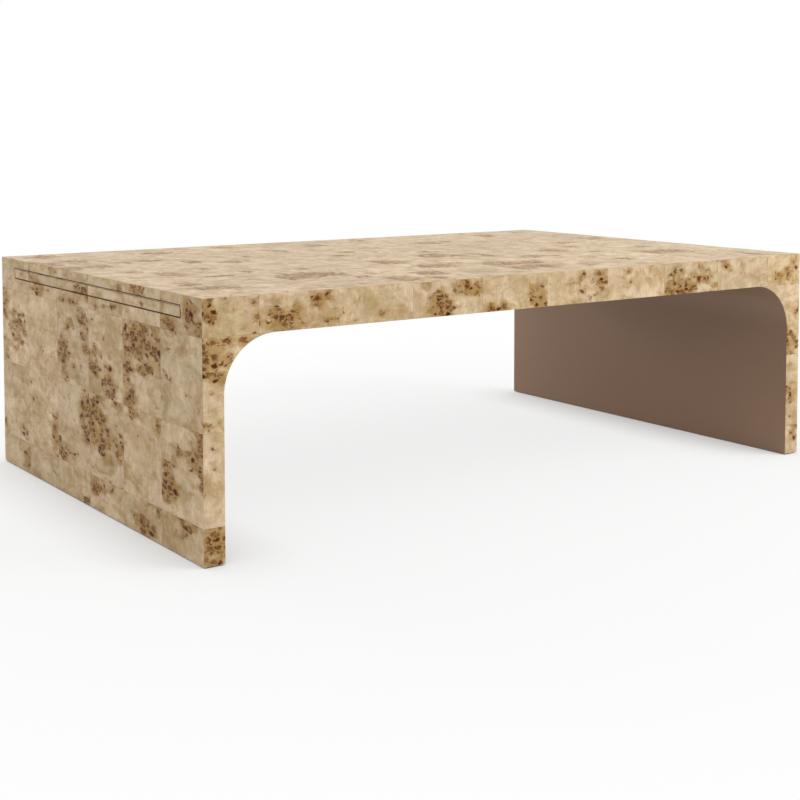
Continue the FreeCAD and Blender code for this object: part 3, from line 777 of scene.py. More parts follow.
class TABLE_OT_arch_shells(bpy.types.Operator):
    """Bend the two lacquered shells of the arch"""
    bl_idname = "table.arch_shells"
    bl_label = "Arch shells"

    def execute(self, context):
        for side, name in SIDES.items():
            ends = sorted((side * leg_inside, side * shell_back))
            shell = start_box(name + "_arch_lining", (ends[0], -core_y, spring_z - foot_z),
                              (ends[1], core_y, spring_z))
            keep_face(shell, Z, 1)
            bpy.ops.mesh.select_all(action="SELECT")
            bpy.ops.mesh.spin(
                steps=context.scene.table_sizes.arch_steps, angle=side * math.pi / 2,
                center=(side * arch_x, 0, spring_z), axis=(0, 1, 0))
            bpy.ops.mesh.select_all(action="SELECT")
            bpy.ops.mesh.remove_doubles(threshold=touching)
            bpy.ops.mesh.normals_make_consistent(inside=False)
            finish(shell, name + "_arch_shell")
        return {"FINISHED"}


class TABLE_OT_leaves(bpy.types.Operator):
    """Make the board and the front lipping of both leaves"""
    bl_idname = "table.leaves"
    bl_label = "Leaf boards and fronts"

    def execute(self, context):
        for part in ("leaf_board", "leaf_front"):
            piece = start_box("right_" + part + "_wood", *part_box("right_" + part))
            edit(piece)
            ease(piece, context.scene.table_sizes.arris, 2, lambda co: True)
            finish_pair(piece, part + "_wood", part)
        return {"FINISHED"}


# Fittings

# Where the moving member's tab starts, in sheets from the rail's face: clear of the
# rail's own wall, which is one sheet thick
TAB_START = 1.3
# Side of a glide's spike at its tip, as a share of its side at the foot
SPIKE_TIP = 0.5


def roll(name, start, heading, path, sheet, x_low, x_high):
    """Rolls sheet steel along a path in the (y, z) plane. A step of the path is a
    length and 0 for a flat, or a radius and the degrees of its bend, where degrees
    above zero turn left. The path is the middle of the sheet."""
    select_nothing()
    bpy.ops.mesh.primitive_plane_add(
        size=1, location=((x_low + x_high) / 2, *start), rotation=(math.radians(heading - 90), 0, 0))
    strip = bpy.context.object
    strip.name = strip.data.name = name
    strip.scale = (x_high - x_low, sheet, 1)
    bpy.ops.object.transform_apply(location=True, rotation=True, scale=True)
    edit(strip)
    bpy.ops.mesh.select_all(action="SELECT")
    point, angle = Vector(start), math.radians(heading)
    for size, turn in path:
        ahead = Vector((math.cos(angle), math.sin(angle)))
        if turn == 0:
            bpy.ops.mesh.extrude_region_move(
                TRANSFORM_OT_translate={"value": (0, *(ahead * size))})
            point += ahead * size
            continue
        centre = point + Vector((-ahead.y, ahead.x)) * math.copysign(size, turn)
        bpy.ops.mesh.spin(
            steps=bpy.context.scene.table_sizes.bend_steps, angle=math.radians(turn),
            center=(0, *centre), axis=(-1, 0, 0))
        point = centre + Matrix.Rotation(math.radians(turn), 2) @ (point - centre)
        angle += math.radians(turn)
    outwards(strip)
    return strip


def screw_head(place, sizes):
    """The low round head of a screw driven along Y, with its cross recess."""
    head = start_rod("head", (place[X], place[Y] + sizes.screw_height, place[Z]), place,
                     sizes.screw_head, sizes.round_sides)
    edit(head)
    ease(head, sizes.screw_height / 2, 3, lambda co: co.y < place[Y] + touching)
    long, short = sizes.screw_head / 2, sizes.screw_head / 8
    for half_x, half_z in ((long, short), (short, long)):
        cut_out(head, start_box(
            "blade", (place[X] - half_x, place[Y] - sizes.screw_height, place[Z] - half_z),
            (place[X] + half_x, place[Y] + sizes.screw_height / 2, place[Z] + half_z)))
    return head


class TABLE_OT_slides(bpy.types.Operator):
    """Roll both members of the ball slides, and their cages with the balls"""
    bl_idname = "table.slides"
    bl_label = "Ball slides"

    def execute(self, context):
        sizes = context.scene.table_sizes
        sheet = sizes.slide_sheet
        race = sizes.ball + sizes.ball_play
        bend = race + sheet / 2
        low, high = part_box("right_front_slide_outer")
        wall, middle = low.y, (low.z + high.z) / 2
        inner_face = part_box("right_front_slide_inner")[1].y
        rise = high.z - middle - sheet - race
        ball_y = wall + sizes.ball_inset

        def race_start(lip):
            turn = math.radians(lip)
            return (ball_y + bend * math.cos(turn), middle - rise + bend * math.sin(turn))

        corner = sizes.slide_bend
        arm = sizes.ball_inset - sheet / 2 - corner
        outer = roll(
            "right_front_slide_rail", race_start(sizes.outer_lip - 90), sizes.outer_lip - 180,
            [(bend, -sizes.outer_lip), (arm, 0), (corner, -90),
             (high.z - low.z - sheet - 2 * corner, 0), (corner, -90), (arm, 0),
             (bend, -sizes.outer_lip)],
            sheet, low.x, high.x)
        lug = self.stop("lug", high.x - sizes.slide_stop, wall + sheet / 2, ball_y - bend - sheet, middle)
        join(outer, lug)

        flat = inner_face - sheet / 2 - corner - ball_y
        inner = roll(
            "right_front_slide_runner", race_start(sizes.inner_lip + 90), sizes.inner_lip,
            [(bend, -sizes.inner_lip), (flat, 0), (corner, 90),
             (2 * (rise - bend - corner), 0), (corner, 90), (flat, 0), (bend, -sizes.inner_lip)],
            sheet, low.x, high.x)
        tab = self.stop("tab", low.x, wall + TAB_START * sheet, inner_face - sheet / 2, middle)
        heads = [
            screw_head((low.x + (high.x - low.x) * share,
                        inner_face - sheet - sizes.screw_height, middle), sizes)
            for share in sizes.screw_shares]
        join(inner, tab, *heads)
        self.seat(outer, "slide_rail", "slide_outer")
        self.seat(inner, "slide_runner", "slide_inner")
        self.seat(self.cage(sizes, ball_y, middle, rise), "slide_balls", "ball_cage")
        return {"FINISHED"}

    @staticmethod
    def stop(name, x, y_low, y_high, middle):
        sizes = bpy.context.scene.table_sizes
        half = sizes.stop_height / 2
        return start_box(
            name, (x, y_low, middle - half), (x + sizes.slide_stop, y_high, middle + half))

    @staticmethod
    def cage(sizes, ball_y, middle, rise):
        """The strip that spaces the balls, with its pockets and the balls."""
        low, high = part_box("right_front_ball_cage")
        strip_y, bend = low.y + sizes.cage_sheet / 2, sizes.cage_sheet
        strip_z = high.z - sizes.cage_sheet / 2 - middle
        flange = high.y - strip_y - bend
        strip = roll(
            "right_front_slide_balls", (high.y, middle - strip_z), 180,
            [(flange, 0), (bend, -90), (2 * (strip_z - bend), 0), (bend, -90), (flange, 0)],
            sizes.cage_sheet, low.x, high.x)
        pitch = (high.x - low.x) / sizes.balls_per_race
        half = sizes.ball + sizes.ball_play
        balls = []
        for number in range(sizes.balls_per_race):
            x = high.x - (number + 0.5) * pitch
            cut_out(strip, start_box(
                "pocket", (x - half, ball_y - half, low.z - half),
                (x + half, ball_y + half, high.z + half)))
            for way in (-1, 1):
                select_nothing()
                bpy.ops.mesh.primitive_uv_sphere_add(
                    segments=sizes.round_sides // 2, ring_count=sizes.round_sides // 4,
                    radius=sizes.ball, location=(x, ball_y, middle + way * rise))
                bpy.ops.object.transform_apply(location=True, rotation=False, scale=False)
                balls.append(bpy.context.object)
        join(strip, *balls)
        return strip

    @staticmethod
    def seat(piece, name, node):
        """Copies a piece to the four slides."""
        for x_way, end in SIDES.items():
            for y_way, side in ((1, "front"), (-1, "back")):
                at = end + "_" + side + "_"
                one = piece
                if (x_way, y_way) != (1, 1):
                    one = mirrored(piece, at + name, x_way, y_way)
                finish(one, at + node)


class TABLE_OT_latches(bpy.types.Operator):
    """Turn the touch latches, and cut their strike plates"""
    bl_idname = "table.latches"
    bl_label = "Touch latches"

    def execute(self, context):
        sizes = context.scene.table_sizes
        low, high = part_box("right_latch_body")
        pin_low, pin_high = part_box("right_latch_plunger")
        middle = ((low.y + high.y) / 2, (low.z + high.z) / 2)
        collar = (high.y - low.y) / 2
        pin = (pin_high.y - pin_low.y) / 2
        face = high.x - sizes.latch_collar

        body = start_rod("right_latch_sleeve", (low.x, *middle), (face, *middle),
                         sizes.latch_body, sizes.round_sides)
        edit(body)
        pick(body, "FACE", lambda end: end.normal.x > square_on)
        bpy.ops.mesh.inset(thickness=0)
        grow = collar / sizes.latch_body
        bpy.ops.transform.resize(value=(1, grow, grow), center_override=(face, *middle))
        bpy.ops.mesh.extrude_region_move(
            TRANSFORM_OT_translate={"value": (sizes.latch_collar, 0, 0)})
        bpy.ops.mesh.inset(thickness=collar - pin - sizes.ball_play)
        bpy.ops.mesh.extrude_region_move(
            TRANSFORM_OT_translate={"value": (low.x - high.x + sizes.latch_floor, 0, 0)})
        # The rim's corners lie at the collar's radius, give or take a rounding
        rim = collar - 3 * touching
        ease(body, sizes.latch_collar / 3, 3, lambda co: co.x > high.x - touching
             and math.hypot(co.y - middle[0], co.z - middle[1]) > rim)

        plunger = start_rod("right_latch_pin", (pin_low.x, *middle), (pin_high.x, *middle),
                            pin, sizes.round_sides)
        edit(plunger)
        ease(plunger, pin / 3, 4, lambda co: co.x > pin_high.x - touching)

        plate = start_box("right_latch_strike", *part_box("right_strike_plate"))
        edit(plate)
        pick(plate, "EDGE", lambda edge: abs(edge.verts[0].co.x - edge.verts[1].co.x) > touching)
        bpy.ops.mesh.bevel(offset=pin / 2, segments=5, affect="EDGES")
        for piece, name, node in (
                (body, "latch_sleeve", "latch_body"), (plunger, "latch_pin", "latch_plunger"),
                (plate, "latch_strike", "strike_plate")):
            outwards(piece)
            finish_pair(piece, name, node)
        return {"FINISHED"}


class TABLE_OT_glides(bpy.types.Operator):
    """Mould the four glides, each with its tapered spike"""
    bl_idname = "table.glides"
    bl_label = "Glides"

    def execute(self, context):
        sizes = context.scene.table_sizes
        low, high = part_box("glides")
        place = Vector((high.x - sizes.glide, high.y - sizes.glide, low.z))
        glide = start_rod("feet", place, place + Vector((0, 0, foot_z - low.z)),
                          sizes.glide, sizes.round_sides)
        edit(glide)
        ease(glide, (foot_z - low.z) / 2, 4, lambda co: co.z < low.z + touching)
        spike = start_box(
            "spike", place + Vector((-sizes.spike / 2, -sizes.spike / 2, foot_z - low.z)),
            place + Vector((sizes.spike / 2, sizes.spike / 2, high.z - low.z)))
        edit(spike)
        pick(spike, "FACE", lambda face: face.normal.z > square_on)
        bpy.ops.transform.resize(
            value=(SPIKE_TIP, SPIKE_TIP, 1), center_override=(place.x, place.y, high.z))
        join(glide, spike)
        others = [mirrored(glide, "foot", x_way, y_way)
                  for x_way, y_way in ((-1, 1), (1, -1), (-1, -1))]
        join(glide, *others)
        finish(glide, "glides")
        return {"FINISHED"}


# Finishes

def add(tree, kind, inputs=(), output=0, **settings):
    """Adds one shader node with its settings, its values and its links, and gives one
    of its outputs."""
    made = tree.nodes.new("ShaderNode" + kind)
    for name, value in settings.items():
        setattr(made, name, value)
    for socket, value in dict(inputs).items():
        if isinstance(value, bpy.types.NodeSocket):
            tree.links.new(value, made.inputs[socket])
        else:
            made.inputs[socket].default_value = value
    return made.outputs[output] if made.outputs else None


def start_material(name):
    """An empty material, and its node tree."""
    material = bpy.data.materials.new(name)
    material.use_nodes = True
    material.node_tree.nodes.clear()
    return material.node_tree


def rgba(tone):
    return (*tone, 1.0)


def eyes(tree, place, size, crowd, least, most):
    """One size of burl eye: how strongly it covers the ground, and how dark it is there.
    Eyes stand a size apart, and least and most are their radii as shares of it. crowd
    says how many of the places hold an eye. Most have a dark heart, and some a dark
    ring round paler flesh. Thin lines of the ground part neighbours that crowd."""
    cell = add(tree, "TexVoronoi", {"Vector": place, "Scale": 1 / size, "Smoothness": 0.15},
               "Distance", voronoi_dimensions="2D", feature="SMOOTH_F1")
    luck = add(tree, "SeparateColor", {"Color": cell.node.outputs["Color"]}, "Red")
    radius = add(tree, "MapRange", {"Value": luck, "To Min": least, "To Max": most})
    reach = add(tree, "Math", {0: cell, 1: radius}, operation="DIVIDE")
    odds = add(tree, "Math", {0: crowd, 1: luck.node.outputs["Green"]}, operation="SUBTRACT")
    there = add(tree, "MapRange", {"Value": odds, "From Max": 0.3}, interpolation_type="SMOOTHSTEP")
    whole = add(tree, "MapRange", {"Value": reach, "From Min": 1.25, "From Max": 0.65},
                interpolation_type="SMOOTHSTEP")
    strength = add(tree, "MapRange", {
        "Value": luck.node.outputs["Blue"], "To Min": 0.55, "To Max": 1.0})
    edge = add(tree, "TexVoronoi", {"Vector": place, "Scale": 1 / size}, "Distance",
               voronoi_dimensions="2D", feature="DISTANCE_TO_EDGE")
    apart = add(tree, "MapRange", {"Value": edge, "From Min": 0.03, "From Max": 0.12, "To Min": 0.15},
                interpolation_type="SMOOTHSTEP")
    for share in (there, strength, apart):
        whole = add(tree, "Math", {0: whole, 1: share}, operation="MULTIPLY")
    heart = add(tree, "MapRange", {"Value": reach, "From Min": 0.95, "From Max": 0.35,
                                   "To Min": 0.25}, interpolation_type="SMOOTHSTEP")
    ring = add(tree, "MapRange", {"Value": reach, "From Min": 0.4, "From Max": 0.8},
               interpolation_type="SMOOTHSTEP")
    ringed = add(tree, "Math", {0: luck, 1: 0.72}, operation="GREATER_THAN")
    dark = add(tree, "Mix", {0: ringed, 2: heart, 3: ring}, 0)
    return whole, dark


def grain(tree, place, width, length_share, detail, weakest, strongest):
    """Fibres along the veneer, as a share of its brightness."""
    along = add(tree, "Mapping", {"Vector": place, "Scale": (1 / width, length_share / width, 1.0)})
    fibres = add(tree, "TexNoise", {
        "Vector": along, "Scale": 1.0, "Detail": detail, "Roughness": 0.65, "Distortion": 0.3}, "Fac")
    return fibres, add(tree, "MapRange", {
        "Value": fibres, "From Min": 0.28, "From Max": 0.72, "To Min": weakest, "To Max": strongest})


def tinge(tree, ground, amount, low, high, most, tone):
    """Lays a tone over the ground, where an amount rises from low to high."""
    share = add(tree, "MapRange", {"Value": amount, "From Min": low, "From Max": high, "To Max": most},
                interpolation_type="SMOOTHSTEP")
    return add(tree, "Mix", {0: share, 6: ground, 7: rgba(tone)}, 2, data_type="RGBA")


def burl_veneer(sizes, tones):
    """Poplar burl sliced to 0.8 mm and laid as squares under satin lacquer. It gives a
    cream ground of wandering fibres with gold, olive and pinkish tinges, and dark brown
    eyes in loose golden clusters."""
    tree = start_material("mappa burl veneer")
    place = add(tree, "Attribute", output="Vector", attribute_name="flitch")
    figure = add(tree, "Attribute", output="Fac", attribute_name="figure")
    tone = add(tree, "Attribute", output="Fac", attribute_name="tone")
    # rim: a dark glue joint at a seam, and painted shade beside the leaf's gap
    rim = add(tree, "Attribute", output="Fac", attribute_name="rim")

    # The fibres wander, and a finer wobble makes every eye ragged. A throw is the whole
    # width over which noise, whose middle is a half, can move a place.
    middle = (0.5, 0.5, 0.5)
    fibre_throw, knot_throw = 50 * MILLIMETRE, 12 * MILLIMETRE
    swirl = add(tree, "TexNoise", {"Vector": place, "Scale": 1 / sizes.swirl, "Detail": 2.0}, "Color")
    swirl = add(tree, "VectorMath", {0: swirl, 1: middle}, operation="SUBTRACT")
    fibre = add(tree, "VectorMath", {0: swirl, 1: (fibre_throw, fibre_throw, 0.0), 2: place},
                operation="MULTIPLY_ADD")
    wobble = add(tree, "TexNoise", {
        "Vector": place, "Scale": 1.6 / sizes.eye, "Detail": 4.0, "Roughness": 0.65}, "Color")
    wobble = add(tree, "VectorMath", {0: wobble, 1: middle}, operation="SUBTRACT")
    bent = add(tree, "Mix", {0: 0.25, 4: place, 5: fibre}, 1, data_type="VECTOR")
    knots = add(tree, "VectorMath", {0: wobble, 1: (knot_throw, knot_throw, 0.0), 2: bent},
                operation="MULTIPLY_ADD")

    # Where the eyes crowd
    patch = add(tree, "TexNoise", {"Vector": place, "Scale": 3.4 / sizes.swirl, "Detail": 4.0}, "Fac")
    patch = add(tree, "MapRange", {"Value": patch, "From Min": 0.3, "From Max": 0.7,
                                   "To Min": -0.7, "To Max": 0.45})
    crowd = add(tree, "Math", {0: figure, 1: patch}, operation="ADD")
    kinds = []
    for size, share, least, most in (
            (sizes.speck, 0.38, 0.25, 0.5), (sizes.pip, 0.62, 0.25, 0.55), (sizes.eye, 1.0, 0.32, 0.6)):
        many = add(tree, "Math", {0: crowd, 1: share, 2: -0.05}, operation="MULTIPLY_ADD")
        kinds.append(eyes(tree, knots, size, many, least, most))

    # Ground: clouds of cream and tan, tinges by the eyes and in the open, and fibres
    cloud = add(tree, "TexNoise", {"Vector": fibre, "Scale": 1.3 / sizes.swirl, "Detail": 6.0,
                                   "Roughness": 0.62, "Distortion": 0.3}, "Fac")
    ground = tinge(tree, rgba(tones.tan), cloud, 0.26, 0.7, 1.0, tones.cream)
    drift = add(tree, "TexNoise", {"Vector": fibre, "Scale": 1.7 / sizes.swirl, "Detail": 5.0,
                                   "Roughness": 0.6, "Distortion": 0.6}, "Color")
    drift = add(tree, "SeparateColor", {"Color": drift}, "Red")
    ground = tinge(tree, ground, drift.node.outputs["Green"], 0.48, 0.68, 0.7, tones.blush)
    ground = tinge(tree, ground, drift, 0.48, 0.68, 0.45, tones.olive)
    ground = tinge(tree, ground, drift.node.outputs["Blue"], 0.54, 0.72, 0.5, tones.amber)
    ground = tinge(tree, ground, crowd, -0.1, 0.85, 0.75, tones.amber)
    curl = add(tree, "Mapping", {"Vector": fibre, "Rotation": (0.0, 0.0, 0.6)})
    light = grain(tree, bent, 0.28 * sizes.streak, 0.1, 2.0, 0.94, 1.04)[1]
    ripple = grain(tree, curl, 2.9 * sizes.streak, 0.34, 4.0, 0.92, 1.07)[1]
    streak, flow = grain(tree, bent, sizes.streak, 0.2, 4.0, 0.88, 1.1)
    band = grain(tree, bent, 3.5 * sizes.streak, 0.12, 3.0, 0.9, 1.08)[1]
    step = add(tree, "Math", {0: tone, 1: 0.06, 2: 1.0}, operation="MULTIPLY_ADD")
    for share in (ripple, flow, band, step):
        light = add(tree, "Math", {0: light, 1: share}, operation="MULTIPLY")
    ground = add(tree, "VectorMath", {0: ground, "Scale": light}, operation="SCALE")

    # Eyes over the ground, the smallest first, and the dark edge of a sheet: a glue joint at a plain seam,
    # and painted shade beside the leaf's gap
    for whole, dark in kinds:
        flesh = add(tree, "Mix", {0: dark, 6: rgba(tones.eye), 7: rgba(tones.ring)}, 2,
                    data_type="RGBA")
        ground = add(tree, "Mix", {0: whole, 6: ground, 7: flesh}, 2, data_type="RGBA")
    ground = add(tree, "Mix", {0: rim, 6: ground, 7: rgba(tones.glue)}, 2, data_type="RGBA")

    bump = add(tree, "Bump", {"Height": streak, "Strength": 0.1, "Distance": 0.0002}, "Normal")
    shader = add(tree, "BsdfPrincipled", {
        "Base Color": ground, "Roughness": 0.35, "IOR": 1.5, "Specular IOR Level": 0.03,
        "Normal": bump})
    add(tree, "OutputMaterial", {"Surface": shader})


def taupe_lacquer(sizes, tones):
    """Pigmented lacquer, sprayed on sanded board and left satin. It gives an even
    colour with a slight ripple in what it reflects."""
    tree = start_material("taupe satin lacquer")
    place = add(tree, "TexCoord", output="Object")
    ripple = add(tree, "TexNoise", {"Vector": place, "Scale": 1 / sizes.peel, "Detail": 1.0}, "Fac")
    pass_width = 200 * MILLIMETRE
    cloud = add(tree, "TexNoise", {"Vector": place, "Scale": 1 / pass_width, "Detail": 3.0}, "Fac")
    shade = add(tree, "MapRange", {"Value": cloud, "To Min": 0.95, "To Max": 1.05})
    tint = add(tree, "VectorMath", {0: tones.taupe, "Scale": shade}, operation="SCALE")
    rough = add(tree, "MapRange", {"Value": cloud, "To Min": 0.33, "To Max": 0.4})
    bump = add(tree, "Bump", {"Height": ripple, "Strength": 0.08, "Distance": 0.0003}, "Normal")
    shader = add(tree, "BsdfPrincipled", {
        "Base Color": tint, "Roughness": rough, "IOR": 1.5, "Specular IOR Level": 0.35,
        "Normal": bump})
    add(tree, "OutputMaterial", {"Surface": shader})


def particle_board(sizes, tones):
    """Wood flakes pressed with glue, sawn at the edges. It gives a mottled tan surface
    of small uneven chips with dark pores between them."""
    tree = start_material("particle board")
    place = add(tree, "TexCoord", output="Object")
    warp = add(tree, "TexNoise", {"Vector": place, "Scale": 1 / sizes.flake, "Detail": 3.0}, "Color")
    ragged = add(tree, "VectorMath", {0: warp, 1: (sizes.flake,) * 3, 2: place},
                 operation="MULTIPLY_ADD")
    chips = []
    for share in (1.0, 2.3):
        chip = add(tree, "TexVoronoi", {"Vector": ragged, "Scale": share / sizes.flake}, "Color")
        chips.append(add(tree, "SeparateColor", {"Color": chip}, "Red"))
    mix = add(tree, "Mix", {0: 0.45, 2: chips[0], 3: chips[1]}, 0)
    pore = add(tree, "MapRange", {"Value": mix, "From Min": 0.8, "From Max": 0.95, "To Max": 0.6})
    tint = add(tree, "Mix", {0: mix, 6: rgba(tones.board), 7: rgba(tones.flake)}, 2, data_type="RGBA")
    tint = add(tree, "Mix", {0: pore, 6: tint, 7: rgba(tones.pore)}, 2, data_type="RGBA")
    bump = add(tree, "Bump", {"Height": mix, "Strength": 0.25, "Distance": 0.0002}, "Normal")
    shader = add(tree, "BsdfPrincipled", {
        "Base Color": tint, "Roughness": 0.8, "Specular IOR Level": 0.3, "Normal": bump})
    add(tree, "OutputMaterial", {"Surface": shader})


def beech(sizes, tones):
    """Planed beech, sealed. It gives a pinkish ground with short dark flecks."""
    tree = start_material("planed beech")
    place = add(tree, "TexCoord", output="Object")
    fleck_width, fleck_length = 10 / 3 * MILLIMETRE, 40 * MILLIMETRE
    along = add(tree, "Mapping", {
        "Vector": place, "Scale": (1 / fleck_width, 1 / fleck_length, 1 / fleck_width)})
    lines = add(tree, "TexNoise", {"Vector": along, "Scale": 1.0, "Detail": 3.0}, "Fac")
    shade = add(tree, "MapRange", {"Value": lines, "From Min": 0.3, "From Max": 0.7,
                                   "To Min": 0.85, "To Max": 1.08})
    tint = add(tree, "VectorMath", {0: tones.beech, "Scale": shade}, operation="SCALE")
    bump = add(tree, "Bump", {"Height": lines, "Strength": 0.1, "Distance": 0.0002}, "Normal")
    shader = add(tree, "BsdfPrincipled", {"Base Color": tint, "Roughness": 0.5, "Normal": bump})
    add(tree, "OutputMaterial", {"Surface": shader})


def zinc_plate(sizes, tones):
    """Cold rolled steel, roll formed and zinc plated. It gives a bright grey metal with
    faint drawing lines along the slide."""
    tree = start_material("zinc plated steel")
    place = add(tree, "TexCoord", output="Object")
    line_length, line_width = 50 * MILLIMETRE, 10 / 9 * MILLIMETRE
    drawn = add(tree, "Mapping", {
        "Vector": place, "Scale": (1 / line_length, 1 / line_width, 1 / line_width)})
    lines = add(tree, "TexNoise", {"Vector": drawn, "Scale": 1.0, "Detail": 2.0}, "Fac")
    rough = add(tree, "MapRange", {"Value": lines, "To Min": 0.25, "To Max": 0.42})
    shader = add(tree, "BsdfPrincipled", {
        "Base Color": rgba(tones.zinc), "Metallic": 1.0, "Roughness": rough})
    add(tree, "OutputMaterial", {"Surface": shader})


def nylon(name, tone):
    """Moulded nylon. It gives a dull, faintly grained plastic."""
    tree = start_material(name)
    place = add(tree, "TexCoord", output="Object")
    # The mould's grain is finer, and is drawn this coarse to show
    pebble_width = 2 / 3 * MILLIMETRE
    pebbles = add(tree, "TexNoise", {"Vector": place, "Scale": 1 / pebble_width, "Detail": 1.0}, "Fac")
    rough = add(tree, "MapRange", {"Value": pebbles, "To Min": 0.4, "To Max": 0.55})
    bump = add(tree, "Bump", {"Height": pebbles, "Strength": 0.15, "Distance": 0.0001}, "Normal")
    shader = add(tree, "BsdfPrincipled", {
        "Base Color": rgba(tone), "Roughness": rough, "IOR": 1.53, "Normal": bump})
    add(tree, "OutputMaterial", {"Surface": shader})


SLOT_FINISHES = {
    "burl_veneer": "mappa burl veneer",
    "taupe_lacquer": "taupe satin lacquer",
    "engineered_board": "particle board",
    "beech": "planed beech",
    "zinc_steel": "zinc plated steel",
    "black_nylon": "black nylon",
    "grey_nylon": "grey nylon",
}


class TABLE_OT_finishes(bpy.types.Operator):
    """Mix every finish, and give the carried nodes theirs"""
    bl_idname = "table.finishes"
    bl_label = "Finishes"

    def execute(self, context):
        sizes, tones = context.scene.table_sizes, context.scene.table_colours
        for make in (burl_veneer, taupe_lacquer, particle_board, beech, zinc_plate):
            make(sizes, tones)
        nylon("black nylon", tones.black_nylon)
        nylon("grey nylon", tones.grey_nylon)
        for node, slot in slot_of.items():
            coat(frame["nodes"][node], slot)
        return {"FINISHED"}


# Stage

# Fitted to the corners of the table in the photograph: metres, degrees, millimetres
# of lens and sensor, and shares of the picture
CAMERA_PLACE = (-1.7208, -2.4528, 0.6922)
CAMERA_DOWN, CAMERA_TURN = 3.5, 54.748
CAMERA_LENS, CAMERA_SENSOR = 63.90, 36.0
CAMERA_SHIFT = (-0.0135, -0.2266)
# Name, place, aim, side in metres, power in watts, and whether reflections show it.
# The low light behind would lie as a white patch on the top, seen from the front.
LAMPS = (
    ("key_light", (2.4, -2.8, 2.7), (0.2, 0.0, 0.2), 2.4, 98.0, True),
    ("back_light", (-0.9, 3.0, 0.8), (0.6, 0.0, 0.15), 1.2, 52.0, False),
)
SKY_STRENGTH = 0.79
FLOOR_SIDE = 30
# The floor as the camera sees it rises to plain white between these two distances from
# the table's middle, and nearer than the first it is white by this share
WHITE_NEAR, WHITE_FAR, WHITE_START = 0.8, 2.0, 0.8
# How far the painted contact shade beside the feet reaches
CONTACT_REACH = 0.16


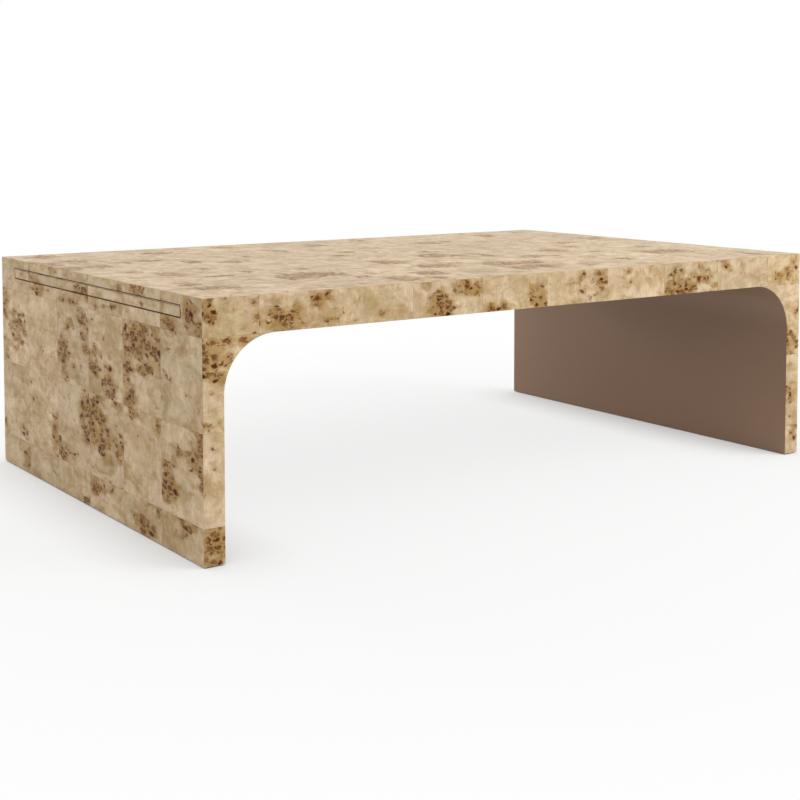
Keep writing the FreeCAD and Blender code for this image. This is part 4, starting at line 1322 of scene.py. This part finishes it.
class TABLE_OT_stage(bpy.types.Operator):
    """Set the floor, the lights and the camera"""
    bl_idname = "table.stage"
    bl_label = "Stage"

    def execute(self, context):
        self.floor(context)
        self.lights(context)
        self.camera(context)
        return {"FINISHED"}

    def floor(self, context):
        select_nothing()
        bpy.ops.mesh.primitive_plane_add(size=FLOOR_SIDE)
        ground = context.object
        ground.name = "floor"
        tree = start_material("studio floor")
        place = add(tree, "TexCoord", output="Object")
        far = add(tree, "VectorMath", {0: place}, "Value", operation="LENGTH")
        far = add(tree, "MapRange", {
            "Value": far, "From Min": WHITE_NEAR, "From Max": WHITE_FAR, "To Min": WHITE_START},
                  interpolation_type="SMOOTHSTEP")
        # Painted contact shade: ambient occlusion lowers the floor's white near the feet, so that more of
        # its lamp-lit shading shows
        open_sky = add(tree, "AmbientOcclusion", {"Distance": CONTACT_REACH}, "AO")
        far = add(tree, "Math", {0: far, 1: open_sky}, operation="MULTIPLY")
        fade = add(tree, "Math", {0: far, 1: self.seen(tree)}, operation="MULTIPLY")
        matt = add(tree, "BsdfDiffuse", {"Color": rgba(context.scene.table_colours.floor)})
        white = add(tree, "Emission", {"Color": rgba((1.0, 1.0, 1.0)), "Strength": 1.0})
        shader = add(tree, "MixShader", {0: fade, 1: matt, 2: white})
        add(tree, "OutputMaterial", {"Surface": shader})
        ground.data.materials.append(bpy.data.materials["studio floor"])

    def lights(self, context):
        world = bpy.data.worlds.new("studio")
        context.scene.world = world
        world.use_nodes = True
        tree = world.node_tree
        tree.nodes.clear()
        strength = add(tree, "MapRange", {"Value": self.seen(tree), "To Min": SKY_STRENGTH})
        sky = add(tree, "Background", {"Color": rgba((1.0, 1.0, 1.0)), "Strength": strength})
        add(tree, "OutputWorld", {"Surface": sky})

        for name, place, aim, side, power, glossy in LAMPS:
            bpy.ops.object.light_add(type="AREA", location=place)
            lamp = context.object
            lamp.name = name
            lamp.data.size = side
            lamp.data.energy = power
            lamp.rotation_euler = (Vector(aim) - lamp.location).to_track_quat("-Z", "Y").to_euler()
            lamp.visible_glossy = glossy

    @staticmethod
    def seen(tree):
        """Rays that show the backdrop: from the camera, a reflection or through glass."""
        ray = add(tree, "LightPath", output="Is Camera Ray")
        for other in ("Is Glossy Ray", "Is Transmission Ray"):
            ray = add(tree, "Math", {0: ray, 1: tree.nodes["Light Path"].outputs[other]},
                      operation="MAXIMUM")
        return ray

    def camera(self, context):
        bpy.ops.object.camera_add()
        camera = context.object
        camera.name = "camera"
        camera.data.sensor_width = CAMERA_SENSOR
        camera.data.lens = CAMERA_LENS
        camera.data.shift_x, camera.data.shift_y = CAMERA_SHIFT
        camera.location = CAMERA_PLACE
        camera.rotation_euler = (
            math.radians(90 - CAMERA_DOWN), 0.0, math.radians(CAMERA_TURN - 90))
        context.scene.camera = camera
        context.scene.view_settings.view_transform = "Standard"


class TABLE_PT_panel(bpy.types.Panel):
    bl_label = "Cocktail table"
    bl_idname = "TABLE_PT_panel"
    bl_space_type = "VIEW_3D"
    bl_region_type = "UI"
    bl_category = "Table"

    def draw(self, context):
        for operator in OPERATORS:
            self.layout.operator(operator.bl_idname)


OPERATORS = (
    TABLE_OT_finishes,
    TABLE_OT_top_veneer,
    TABLE_OT_side_veneers,
    TABLE_OT_end_veneers,
    TABLE_OT_leaf_veneers,
    TABLE_OT_leaves,
    TABLE_OT_arch_shells,
    TABLE_OT_slides,
    TABLE_OT_latches,
    TABLE_OT_glides,
    TABLE_OT_stage,
)
CLASSES = (TableSizes, TableColours, *OPERATORS, TABLE_PT_panel)


def register():
    for kind in CLASSES:
        bpy.utils.register_class(kind)
    bpy.types.Scene.table_sizes = bpy.props.PointerProperty(type=TableSizes)
    bpy.types.Scene.table_colours = bpy.props.PointerProperty(type=TableColours)


def unregister():
    del bpy.types.Scene.table_colours
    del bpy.types.Scene.table_sizes
    for kind in reversed(CLASSES):
        bpy.utils.unregister_class(kind)


def main():
    register()
    bpy.ops.table.finishes()
    bpy.ops.table.top_veneer()
    bpy.ops.table.side_veneers()
    bpy.ops.table.end_veneers()
    bpy.ops.table.leaf_veneers()
    bpy.ops.table.leaves()
    bpy.ops.table.arch_shells()
    bpy.ops.table.slides()
    bpy.ops.table.latches()
    bpy.ops.table.glides()
    bpy.ops.table.stage()


if __name__ == "__main__":
    main()
